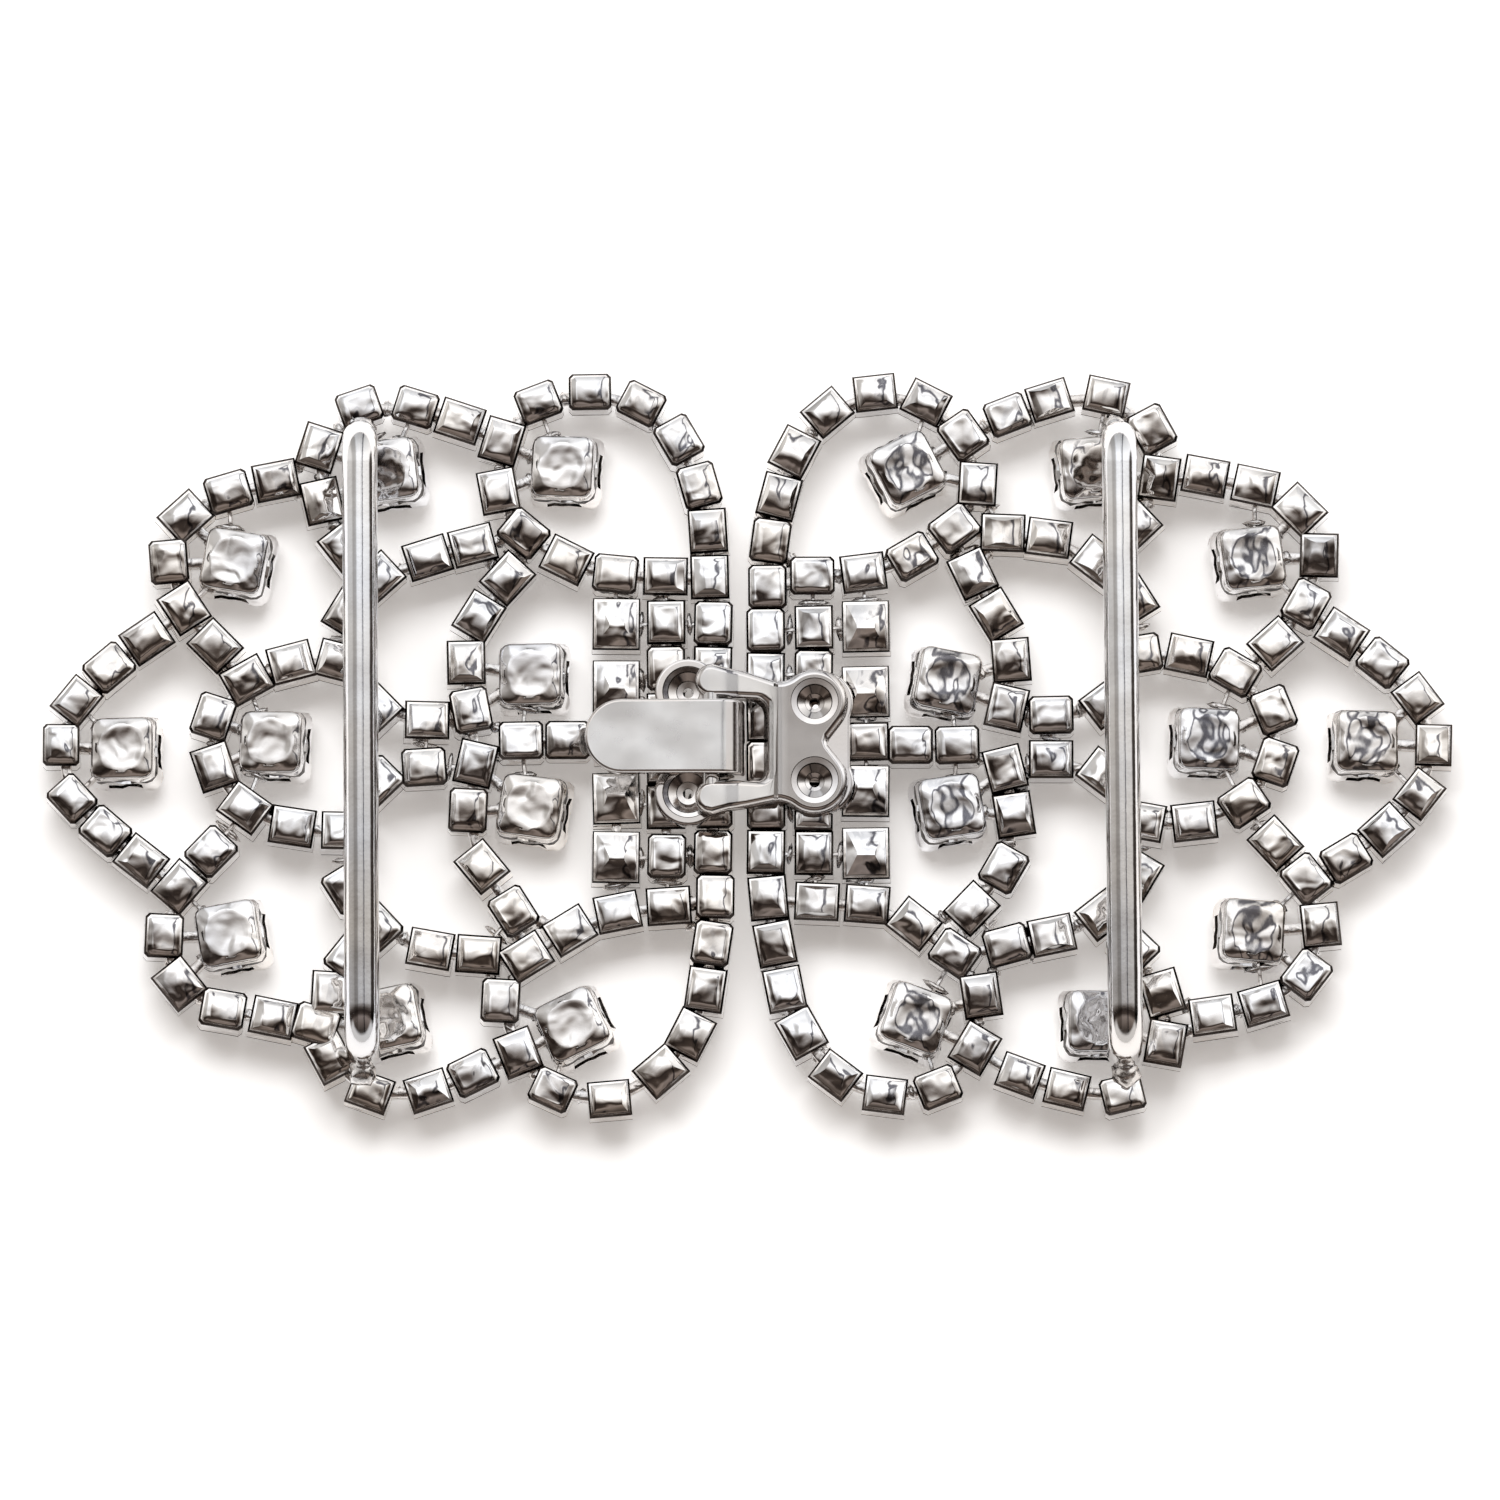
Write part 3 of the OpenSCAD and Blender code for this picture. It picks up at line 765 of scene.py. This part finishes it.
def makeLink():
    # one millimetre long; each copy is drawn out to its own length
    top, bottom = linkBar["top"], linkBar["bottom"]
    model = added(bpy.ops.mesh.primitive_cube_add, size=1, location=(0, 0, (top + bottom) / 2),
                  scale=(1, linkBar["width"], top - bottom))
    startEditing(model)
    pick("EDGE", lambda edge: middle(edge).z > top - 0.01 and abs(middle(edge).y) > 0.1)
    bevelPicked(linkBar["edge"], 2)
    stopEditing()
    setFinish(model, "solder")
    return model


def makeLump(seed):
    model = added(bpy.ops.mesh.primitive_uv_sphere_add, segments=9, ring_count=6, radius=1)
    startEditing(model)
    pickAll()
    bpy.ops.transform.vertex_random(offset=0.13, uniform=0.5, normal=0.5, seed=seed)
    stopEditing()
    setFinish(model, "solder")
    return model


def jointsOf(half):
    # every two cups within reach of each other, and each setting with its cups
    cups = half["cups"] + half["squares"]
    joints = [(a, b) for i, a in enumerate(cups) for b in cups[i + 1:]
              if apart(a, b) < clasp["linkReach"]]
    joints += [(a, b) for a in half["seats"] for b in cups if apart(a, b) < clasp["seatReach"]]
    return joints


def placeJoints(link, lumpModels, half, side):
    links, lumps = [], []
    for a, b in jointsOf(half):
        x, y = (a[0] + b[0]) / 2, (a[1] + b[1]) / 2
        heading = math.degrees(math.atan2(b[1] - a[1], b[0] - a[0]))
        # nought where the bar runs along its chain, ninety where it crosses from chain to chain
        crossing = abs((heading - a[2] + 90) % 180 - 90)
        width = linkBar["sideWidth"] if crossing > linkBar["sideAngle"] else 1
        place = spot(x, y, clasp["backZ"], heading)
        links.append(copyTo(link, place @ Matrix.Diagonal((apart(a, b), width, 1, 1))))
        if crossing > linkBar["lumpAngle"] or random.random() < linkBar["lumpShare"]:
            shape = linkBar["seam"] if crossing > linkBar["seamAngle"] else linkBar["lump"]
            size = [part * random.uniform(*linkBar["lumpSizes"]) for part in shape]
            depth = clasp["backZ"] + linkBar["lumpDepth"] + random.uniform(-0.1, 0.12)
            place = spot(x, y, depth, heading + chance(linkBar["lumpTurn"]))
            lumps.append(copyTo(random.choice(lumpModels), place @ Matrix.Diagonal((*size, 1))))
    for x, y in half["solder"]:
        place = spot(x, y, clasp["backZ"] - 0.2, random.uniform(0, 90))
        lumps.append(copyTo(lumpModels[0], place @ Matrix.Diagonal((*linkBar["foot"], 1))))
    keepMetal(links, side + "_links", half, 38)
    keepMetal(lumps, side + "_solder", half, 100)


link = makeLink()
lumpModels = [makeLump(seed) for seed in range(4)]
for side, half in halves.items():
    placeJoints(link, lumpModels, half, side)
discard(link, *lumpModels)
print("links and solder made")


# Stones
chainStone = {
    "sides": 8,
    "radius": 1.03,
    "table": 0.6,  # share of the radius
    "girdleZ": -1.98,
    "tableZ": -2.25,
    "culetZ": -1.42,
    "facet": 0.14,
    "squareScale": 1.28,
}
seatStone = {
    "sides": 12,
    "radius": 2.03,
    "table": 0.58,
    "girdleZ": -2.24,
    "tableZ": -2.97,
    "culetZ": -0.72,
    "facet": 0.3,
}


def makeStone(stone):
    radius, girdle, table = stone["radius"], stone["girdleZ"], stone["tableZ"]
    model = added(bpy.ops.mesh.primitive_circle_add, vertices=stone["sides"], radius=radius,
                  fill_type="NGON", location=(0, 0, girdle))
    startEditing(model)
    # crown down to the table, with its slanted edges cut to facets
    pick("FACE", anywhere)
    stackRings([(girdle, 1), (table, stone["table"])])
    cutOut(lambda face: middle(face).z > girdle - 0.001)
    pick("EDGE", lambda edge: table + 0.01 < middle(edge).z < girdle - 0.01)
    bevelPicked(stone["facet"], 1)
    # girdle and pavilion up to the point
    pickRim()
    stackEdges([(girdle, 1), (girdle + 0.1, 1), (stone["culetZ"], 0.1)])
    bpy.ops.mesh.merge(type="CENTER")
    stopEditing()
    outwards(model)
    setFinish(model, "crystal", "foil")
    paintFaces(model, 1, lambda face: middle(face).z > girdle + 0.12)
    return model


def seatPlace(x, y, turn, half, quarter=0):
    # a leaning setting is raised until its lowest claw just reaches the table
    reach, bevel = clasp["collarHalf"], clasp["collarBevel"]
    side, lean = math.radians(abs(turn)), math.radians(clasp["lean"])
    corner = max(reach * math.cos(side) + (reach - bevel) * math.sin(side),
                 (reach - bevel) * math.cos(side) + reach * math.sin(side))
    height = clasp["settingHeight"] * math.cos(lean) + corner * math.sin(lean)
    return (Matrix.Translation((x, y, height)) @ Matrix.Rotation(math.radians(half["lean"]), 4, "Y")
            @ Matrix.Rotation(math.radians(turn + quarter), 4, "Z"))


smallStone, largeStone = makeStone(chainStone), makeStone(seatStone)
for side, half in halves.items():
    grow = Matrix.Diagonal((chainStone["squareScale"], chainStone["squareScale"], 1, 1))
    copies = [copyTo(smallStone, spot(x, y, clasp["backZ"], turn)) for x, y, turn in half["cups"]]
    copies += [copyTo(smallStone, spot(x, y, clasp["backZ"], turn) @ grow)
               for x, y, turn in half["squares"]]
    keep(gather(copies, side + "_chain_stones"), half, [half["node"]])
    for i, (x, y, turn) in enumerate(half["seats"], 1):
        chaton = gather([copyTo(largeStone, seatPlace(x, y, turn, half))], side + "_chaton_" + str(i))
        keep(chaton, half, [side + "_stone_" + str(i)])
discard(smallStone, largeStone)
print("stones made")


# Claw settings
seat = {
    "half": 1.97,  # half width of the back
    "corner": 0.6,
    "edgeZ": -0.5,
    "sheet": 0.2,
    # rings of height and half width: border and dimple of the back, walls down to the rim, claws
    "border": [(-0.5, 1.97), (-0.3, 1.95), (-0.19, 1.88), (-0.14, 1.77), (-0.09, 1.55)],
    "dimple": [(-0.04, 1.5), (-0.028, 1.38), (-0.032, 1.22), (-0.045, 1.0), (-0.06, 0.7), (-0.066, 0.35)],
    "walls": [(-0.5, 1.97), (-0.68, 1.93), (-0.92, 2.03), (-1.12, 2.04), (-1.36, 2.07),
              (-2.20, 2.23), (-2.42, 2.28), (-2.72, 2.25)],
    "claws": [(-2.72, 1), (-2.94, 0.95), (-3.07, 0.84)],
    "collarZ": -0.8,  # the collar starts here
    "window": 1.0,  # half width of the windows in it, then their bottom, top and arch
    "windowZ": (-2.3, -1.36, -1.14),
    "stray": 0.12,  # how far a dimple's middle strays by chance
    "unevenness": 0.09,
    "variants": 6,
}


def makeSeat(seed):
    # back up at height 0, claws down at the setting's height
    half, edge, window, stray = seat["half"], seat["edgeZ"], seat["window"], seat["stray"]
    windowBottom, windowTop, windowArch = seat["windowZ"]
    model = added(bpy.ops.mesh.primitive_plane_add, size=2 * half, location=(0, 0, edge))
    startEditing(model)
    pick("VERT", anywhere)
    bpy.ops.mesh.bevel(offset=seat["corner"], segments=3, affect="VERTICES")
    pick("EDGE", lambda side: side.calc_length() > 1)
    bpy.ops.mesh.subdivide(number_cuts=6)
    # back: a soft edge and a border that slopes away from a round, shallow dimple
    pick("FACE", anywhere)
    stackRings(seat["border"])
    extrude(0, 0, 0.05)
    widen(0.9, 0.9)
    bpy.ops.transform.tosphere(value=0.8)
    stackRings(seat["dimple"])
    move(chance(stray), chance(stray), random.uniform(-0.02, 0.03))
    bpy.ops.mesh.merge(type="CENTER")
    cutOut(lambda face: middle(face).z < edge + 0.005)
    # walls down to the collar
    pickRim()
    stackEdges(seat["walls"])
    # collar: pulled in at mid side and standing proud at the corners
    pick("VERT", lambda corner: corner.co.z < seat["collarZ"] and offAxis(corner.co) < 0.95)
    widen(0.97, 0.97)
    # an arched window in each side
    cutOut(lambda face: windowBottom < middle(face).z < windowTop and offAxis(middle(face)) < window)
    cutOut(lambda face: windowTop < middle(face).z < windowArch and offAxis(middle(face)) < window * 0.6)
    # claws: the rim's corners drawn out and bent in over the stone
    pick("EDGE", lambda side: side.is_boundary and middle(side).z < -2.7 and offAxis(middle(side)) > 1.35)
    stackEdges(seat["claws"])
    pick("VERT", lambda corner: corner.co.z < seat["collarZ"])
    bpy.ops.transform.vertex_random(offset=seat["unevenness"], uniform=0.2, normal=0.0, seed=seed + 20)
    stopEditing()
    outwards(model)
    setFinish(model, "seat", "side", "lining")
    # bands of the walls below the back and above the windows are painted dark as shade
    paintFaces(model, 1, lambda face: -0.7 < middle(face).z < edge + 0.1
               or windowTop < middle(face).z < -0.9)
    # the inner shell takes the dark lining: painted shade inside the setting
    addModifier(model, "SOLIDIFY", thickness=seat["sheet"], offset=-1.0, material_offset=2)
    return model


seatModels = [makeSeat(seed) for seed in range(seat["variants"])]
for side, half in halves.items():
    copies = [copyTo(seatModels[i % seat["variants"]], seatPlace(x, y, turn, half, 90 * (i % 4)))
              for i, (x, y, turn) in enumerate(half["seats"])]
    keepMetal(copies, side + "_claw_settings", half, 42)
discard(*seatModels)
print("claw settings made")


# Strap bars
strapBar = {
    "radius": 1.1,
    "half": 19.1,  # from the middle to a leg's centre line
    "bend": 2.0,
    "wireZ": 8.96647,
    "footZ": 3.1,
    "middleY": -0.36,
    "sides": 28,
    "bendSteps": 9,
}


def makeStrapBar(half, name):
    reach, bend, top = strapBar["half"], strapBar["bend"], strapBar["wireZ"] - strapBar["bend"]
    bar = added(bpy.ops.mesh.primitive_circle_add, vertices=strapBar["sides"], radius=strapBar["radius"],
                fill_type="NGON", location=(0, -reach, strapBar["footZ"]))
    startEditing(bar)
    pickAll()
    extrude(0, 0, top - strapBar["footZ"])
    sweep(90, strapBar["bendSteps"], (0, bend - reach, top), (1, 0, 0))
    extrude(0, 2 * (reach - bend), 0)
    sweep(90, strapBar["bendSteps"], (0, reach - bend, top), (1, 0, 0))
    extrude(0, 0, strapBar["footZ"] - top)
    pickRim()
    bpy.ops.mesh.edge_face_add()
    stopEditing()
    outwards(bar)
    setFinish(bar, "wire")
    atTop, atBottom = half["barX"]
    slant = math.degrees(math.atan2(atBottom - atTop, 2 * reach))
    bar.matrix_world = spot((atTop + atBottom) / 2, strapBar["middleY"], 0, slant)
    keepMetal([bar], name, half, 50)


for side, half in halves.items():
    makeStrapBar(half, side + "_strap_bar")
print("strap bars made")


# Hook and eye plate
# Both are drawn in the charts' coordinates and laid in their place at the end.
hook = {
    "sheet": 0.8,
    "halfWidth": 2.35,
    "tipX": -10.25,
    "foldX": -1.85,
    "hingeZ": 5.06647,
    "throat": 1.6,
    "foldSteps": 12,
    "baseEndX": -3.8,
    "lobe": (-3.8, 3.2, 2.1),  # x, distance from the middle, radius
    "edge": 0.2,
    "setX": -3.4,  # a faint bend runs across the tongue here
    "setSteps": (0.5, 0, -0.5),
    "setAngle": 1.2,
    # dishes: depth and radius
    "dish": [(0, 1.62), (-0.12, 1.56), (-0.16, 1.3), (-0.26, 1.24), (-0.4, 0.75), (-0.5, 0.7),
             (-0.54, 0.34), (-1.0, 0.32)],
}
eyePlate = {
    "sheet": 1.3,
    "lobe": (4.1, 2.5, 2.1),
    "notchX": 4.95,
    "notchHalf": 0.25,
    "notchAngle": -38,
    "waist": 3.8,
    "fillet": 1.5,
    "windowX": 1.1,
    "windowHalf": 2.6,
    "windowCorner": 0.85,
    "armEdge": [(-0.4, 4.3), (-1.3, 4.47)],
    "armTip": (-2.15, 3.68, 1.1),  # x, distance from the middle, radius
    "edge": 0.42,
    "flangeLobe": (4.5, 2.5, 2.1),
    "flangeAngle": 25,  # the flange's lobe starts here and runs on for this long
    "flangeArc": 150,
    "flangeEnd": (2.6, 3.4),
    "flangeHeight": 0.6,
    "flangeEdge": 0.21,
    "flangeNotchX": 6.35,
    "bendX": (1.6, -1.3),
    "bendAngle": 18,
    "bendSteps": (0.5, 0.17, -0.17, -0.5),
    "tipBendX": -2.45,
    "tipAngle": 9,
    "relief": 0.12,  # the arms are thinned from below by this over the hook's base
    "reliefX": -0.9,
    "reliefZ": -0.4,  # below the hinge line
    "barX": -2.35,
    "barRadius": 0.6,
    "barHalf": 2.9,
    "dish": [(0, 1.5), (-0.1, 1.46), (-0.13, 1.12), (-0.3, 1.06), (-0.58, 0.62), (-0.74, 0.58),
             (-0.82, 0.34), (-1.6, 0.32)],
}


def line(x, y):
    # draws an edge from the picked corner to a point
    mesh = bmesh.from_edit_mesh(bpy.context.edit_object.data)
    corner = next(vert for vert in mesh.verts if vert.select)
    bpy.ops.mesh.extrude_vertices_move(TRANSFORM_OT_translate={
        "value": (x - corner.co.x, y - corner.co.y, 0)})


def arc(x, y, degrees, steps):
    # draws an arc from the picked corner about a centre, anticlockwise when positive
    sweep(-degrees, steps, (x, y, 0), (0, 0, 1))


def startOutline(x, y):
    outline = added(bpy.ops.mesh.primitive_plane_add, size=0.1)
    startEditing(outline)
    bpy.ops.mesh.select_mode(type="VERT")
    pickAll()
    bpy.ops.mesh.merge(type="CENTER")
    move(x, y, 0)
    return outline


def closeOutline(outline, bottom, height):
    # the drawn half is mirrored, filled and raised
    bpy.ops.mesh.select_mode(type="VERT")
    pickAll()
    bpy.ops.mesh.duplicate()
    widen(1, -1)
    pickAll()
    bpy.ops.mesh.remove_doubles(threshold=0.01)
    pickAll()
    bpy.ops.mesh.edge_face_add()
    move(0, 0, bottom)
    extrude(0, 0, height)
    pickAll()
    bpy.ops.mesh.normals_make_consistent(inside=False)
    stopEditing()


def cylinder(x, y, bottom, top, radius, sides):
    return added(bpy.ops.mesh.primitive_cylinder_add, vertices=sides, radius=radius, depth=top - bottom,
                 location=(x, y, (top + bottom) / 2))


def boolean(piece, tool, operation):
    addModifier(piece, "BOOLEAN", object=tool, operation=operation, solver="EXACT")
    discard(tool)


def cutDish(piece, x, y, top, steps):
    # a stepped dish with a hole in its middle
    cutter = cylinder(x, y, top, top + 0.3, steps[0][1], 40)
    startEditing(cutter)
    pick("FACE", lambda face: face.normal.z < -0.9)
    for (z0, r0), (z1, r1) in zip(steps, steps[1:]):
        extrude(0, 0, z1 - z0)
        widen(r1 / r0, r1 / r0, (x, y, 0))
    stopEditing()
    outwards(cutter)
    polishFaces(cutter, 1, anywhere)
    # the dish's steep walls are painted dark as shade
    polishFaces(cutter, 2, lambda face: abs(face.normal.z) < 0.6)
    boolean(piece, cutter, "DIFFERENCE")


def polishFaces(piece, finish, test):
    # the fasteners have three finishes: satin, polished edge, and a dark one that paints shade on side walls
    # and steep dish walls
    if len(piece.data.materials) < 3:
        setFinish(piece, "satin", "edge", "crease")
    paintFaces(piece, finish, test)


def isSharp(edge):
    return len(edge.link_faces) == 2 and edge.calc_face_angle() > math.radians(48)


def isTopRim(edge):
    return isSharp(edge) and max(face.normal.z for face in edge.link_faces) > 0.7


def cutAcross(x):
    # a row of edges across what is picked
    bpy.ops.mesh.bisect(plane_co=(x, 0, 0), plane_no=(1, 0, 0))


def roundEdges(piece, test, width, segments):
    # flat faces stay satin, their edges are rounded and polished
    startEditing(piece)
    pick("EDGE", test)
    bevelPicked(width, segments, clamp_overlap=False, material=1)
    stopEditing()


def makeHook():
    sheet, inner, foldX = hook["sheet"], hook["throat"] / 2, hook["foldX"]
    top = hook["hingeZ"] + inner
    piece = added(bpy.ops.mesh.primitive_cube_add, size=1,
                  location=((hook["tipX"] + foldX) / 2, 0, top + sheet / 2),
                  scale=(foldX - hook["tipX"], 2 * hook["halfWidth"], sheet))
    startEditing(piece)
    # fold, then the base below
    pick("FACE", lambda face: face.normal.x > 0.9)
    sweep(180, hook["foldSteps"], (foldX, 0, hook["hingeZ"]), (0, -1, 0))
    extrude(hook["baseEndX"] - foldX, 0, 0)
    # round tip
    pick("EDGE", lambda side: middle(side).x < hook["tipX"] + 0.01
         and abs(side.verts[0].co.z - side.verts[1].co.z) > 0.5)
    bevelPicked(hook["halfWidth"] - 0.02, 14)
    # faint bend across the tongue
    for step in hook["setSteps"]:
        pick("FACE", lambda face: middle(face).z > hook["hingeZ"])
        cutAcross(hook["setX"] + step)
    for step in hook["setSteps"]:
        x = hook["setX"] + step - 0.05
        pick("VERT", lambda corner: corner.co.x < x and corner.co.z > hook["hingeZ"])
        tip("Y", hook["setAngle"] / len(hook["setSteps"]), (x, 0, top))
    stopEditing()
    outwards(piece)
    polishFaces(piece, 0, anywhere)
    polishFaces(piece, 1, lambda face: middle(face).z < hook["hingeZ"] or middle(face).x > foldX + 0.42
                or abs(face.normal.z) < 0.5)
    roundEdges(piece, isSharp, hook["edge"], 3)
    lobeX, lobeY, radius = hook["lobe"]
    bottom, baseTop = clasp["backZ"], clasp["backZ"] + sheet
    for side in (-1, 1):
        lobe = cylinder(lobeX, side * lobeY, bottom, baseTop, radius, 40)
        polishFaces(lobe, 1, anywhere)
        roundEdges(lobe, isTopRim, hook["edge"], 2)
        boolean(piece, lobe, "UNION")
    for side in (-1, 1):
        cutDish(piece, lobeX, side * lobeY, baseTop, hook["dish"])
    return piece


def makeEyePlate():
    lobeX, lobeY, radius = eyePlate["lobe"]
    bottom, sheet = clasp["backZ"], eyePlate["sheet"]
    # outline of the upper half, from the notch round the lobe and the arm to the window
    outline = startOutline(eyePlate["notchX"], 0)
    notch = math.radians(eyePlate["notchAngle"])
    line(eyePlate["notchX"] + 0.08, eyePlate["notchHalf"])
    line(lobeX + radius * math.cos(notch), lobeY + radius * math.sin(notch))
    # where the lobe's arc meets the fillet of the waist
    reach, rise = radius + eyePlate["fillet"], eyePlate["waist"] + eyePlate["fillet"] - lobeY
    filletX = lobeX - math.sqrt(reach ** 2 - rise ** 2)
    contact = 180 - math.degrees(math.atan2(rise, lobeX - filletX))
    arc(lobeX, lobeY, contact - eyePlate["notchAngle"], 22)
    arc(filletX, lobeY + rise, contact - 180, 6)
    # arm with a round end
    tipX, tipY, end = eyePlate["armTip"]
    for x, y in eyePlate["armEdge"]:
        line(x, y)
    line(tipX, tipY + end)
    arc(tipX, tipY, 180, 12)
    corner = eyePlate["windowCorner"]
    line(eyePlate["windowX"] - corner, eyePlate["windowHalf"])
    arc(eyePlate["windowX"] - corner, eyePlate["windowHalf"] - corner, -90, 6)
    line(eyePlate["windowX"], 0)
    closeOutline(outline, bottom, sheet)
    # arms rise from the plate to the hinge line
    startEditing(outline)
    bpy.ops.mesh.select_mode(type="VERT")
    bendSteps = eyePlate["bendSteps"]
    for x in [bend + step for bend in eyePlate["bendX"] for step in bendSteps]:
        pickAll()
        cutAcross(x)
    for bend, turn in zip(eyePlate["bendX"], (-1, 1)):
        for x in [bend + step for step in bendSteps]:
            pick("VERT", lambda corner: corner.co.x < x - 0.05)
            tip("Y", turn * eyePlate["bendAngle"] / len(bendSteps), (x, 0, bottom + sheet / 2))
    pick("VERT", lambda corner: corner.co.x < eyePlate["reliefX"]
         and corner.co.z < hook["hingeZ"] + eyePlate["reliefZ"])
    move(0, 0, eyePlate["relief"])
    # and their tips turn down a little over the cross bar
    x = eyePlate["tipBendX"]
    pickAll()
    cutAcross(x)
    pick("VERT", lambda corner: corner.co.x < x - 0.05)
    tip("Y", eyePlate["tipAngle"], (x, 0, hook["hingeZ"]))
    stopEditing()
    # lower flange
    flangeX, flangeY, flangeRadius = eyePlate["flangeLobe"]
    start = math.radians(eyePlate["flangeAngle"])
    flange = startOutline(eyePlate["flangeNotchX"], 0)
    line(flangeX + flangeRadius * math.cos(start) - 0.05, flangeY - flangeRadius * math.sin(start))
    arc(flangeX, flangeY, eyePlate["flangeArc"], 18)
    line(*eyePlate["flangeEnd"])
    line(eyePlate["flangeEnd"][0], 0)
    closeOutline(flange, bottom, eyePlate["flangeHeight"])
    outwards(outline)
    outwards(flange)
    polishFaces(outline, 0, anywhere)
    # the plate's side walls are painted dark as shade
    polishFaces(outline, 2, lambda face: abs(face.normal.z) < 0.3)
    polishFaces(flange, 1, anywhere)
    roundEdges(outline, isTopRim, eyePlate["edge"], 4)
    roundEdges(flange, isTopRim, eyePlate["flangeEdge"], 2)
    boolean(outline, flange, "UNION")
    for side in (-1, 1):
        cutDish(outline, lobeX, side * lobeY, bottom + sheet, eyePlate["dish"])
    # the plate's finish, with its painted shade and painted highlight
    outline.data.materials[0] = finishes["plate"]
    # cross bar that the hook holds
    barX, barHalf = eyePlate["barX"], eyePlate["barHalf"]
    bar = cylinder(barX, 0, -barHalf, barHalf, eyePlate["barRadius"], 24)
    startEditing(bar)
    pickAll()
    tip("X", 90, (barX, 0, 0))
    move(0, 0, hook["hingeZ"])
    stopEditing()
    setFinish(bar, "wire")
    return gather([outline, bar], "eye_plate")


for maker, name, side in ((makeHook, "hook", "left"), (makeEyePlate, "eye_plate", "right")):
    piece = maker()
    piece.location = (-clasp["middleX"], -clasp["middleY"], 0)
    piece = gather([piece], name)
    smooth(piece, 35)
    addModifier(piece, "WEIGHTED_NORMAL", weight=100, keep_sharp=True)
    keep(piece, halves[side], [halves[side]["node"]])
print("hook and eye plate made")


# Table and lights
studio = {
    "tableHalf": 3.0,  # in metres
    "sky": 1.12,
    "lowBand": (0.62, 0.60, 0.585),
    "keyPlace": (-0.12, 0.62, 0.95),
    "keySize": (1.1, 0.6),
    "keyPower": 11.0,
}
table = added(bpy.ops.mesh.primitive_plane_add, size=2 * studio["tableHalf"])
table.name = "white_table"
table.data.materials.append(finishes["floor"])


def makeSky():
    # a light tent: bright to the north and overhead, dark brown to the south
    sky = Finish(bpy.data.worlds.new("light_tent"), "Generated")
    east, north, up = [sky.along(axis) for axis in "XYZ"]
    northSouth = sky.node("ShaderNodeValToRGB", {"stops": [
        (0.00, (0.12, 0.105, 0.098)),
        (0.08, (0.05, 0.040, 0.034)),
        (0.17, (0.13, 0.103, 0.088)),
        (0.30, (0.24, 0.195, 0.17)),
        (0.36, (0.05, 0.037, 0.030)),
        (0.43, (0.025, 0.018, 0.015)),
        (0.47, (0.09, 0.072, 0.062)),
        (0.50, (0.22, 0.195, 0.18)),
        (0.54, (0.44, 0.415, 0.395)),
        (0.58, (0.72, 0.70, 0.685)),
        (0.62, (1.0, 0.99, 0.98)),
        (0.65, (1.22, 1.22, 1.22)),
        (0.74, (1.22, 1.22, 1.22)),
        (0.80, (1.05, 1.05, 1.05)),
        (0.91, (0.80, 0.80, 0.80)),
        (1.00, (0.50, 0.50, 0.50)),
    ]}, {"Fac": north * 0.5 + 0.5})
    eastWest = sky.node("ShaderNodeValToRGB", {"stops": [
        (0.00, (0.72, 0.71, 0.70)),
        (0.10, (0.66, 0.645, 0.625)),
        (0.15, (0.42, 0.405, 0.39)),
        (0.28, (0.46, 0.45, 0.44)),
        (0.33, (0.93, 0.94, 0.96)),
        (0.53, (1.0, 1.0, 1.0)),
        (0.555, (0.80, 0.81, 0.83)),
        (0.60, (0.95, 0.95, 0.96)),
        (0.625, (0.14, 0.14, 0.16)),
        (0.65, (0.14, 0.14, 0.16)),
        (0.675, (0.95, 0.95, 0.95)),
        (0.93, (0.92, 0.91, 0.90)),
        (0.955, (0.06, 0.05, 0.045)),
    ]}, {"Fac": east * 0.5 + 0.5})
    colour = sky.node("ShaderNodeMix", {"data_type": "RGBA", "blend_type": "MULTIPLY"},
                      {"Factor": 1.0, "A": northSouth, "B": eastWest}, "Result")
    # a pale band low in the south lights what is seen from the other side
    low = sky.spread(up, 0.30, 0.44, 1.0, 0.0) * sky.spread(north, -0.5, -0.3, 1.0, 0.0)
    colour = sky.blend(low, colour, studio["lowBand"])
    shader = sky.node("ShaderNodeBackground", None, {"Color": colour, "Strength": studio["sky"]})
    sky.node("ShaderNodeOutputWorld", None, {"Surface": shader})
    return sky.owner


bpy.context.scene.world = makeSky()
keyData = bpy.data.lights.new("north_softbox", "AREA")
keyData.shape = "RECTANGLE"
keyData.size, keyData.size_y = studio["keySize"]
keyData.energy = studio["keyPower"]
key = inScene(keyData)
key.location = studio["keyPlace"]
key.visible_glossy = False  # lights the table only, and leaves no patch on the metal
key.rotation_euler = (-key.location).to_track_quat("-Z", "Y").to_euler()
bpy.context.scene.view_settings.view_transform = "Standard"
print("stage set")
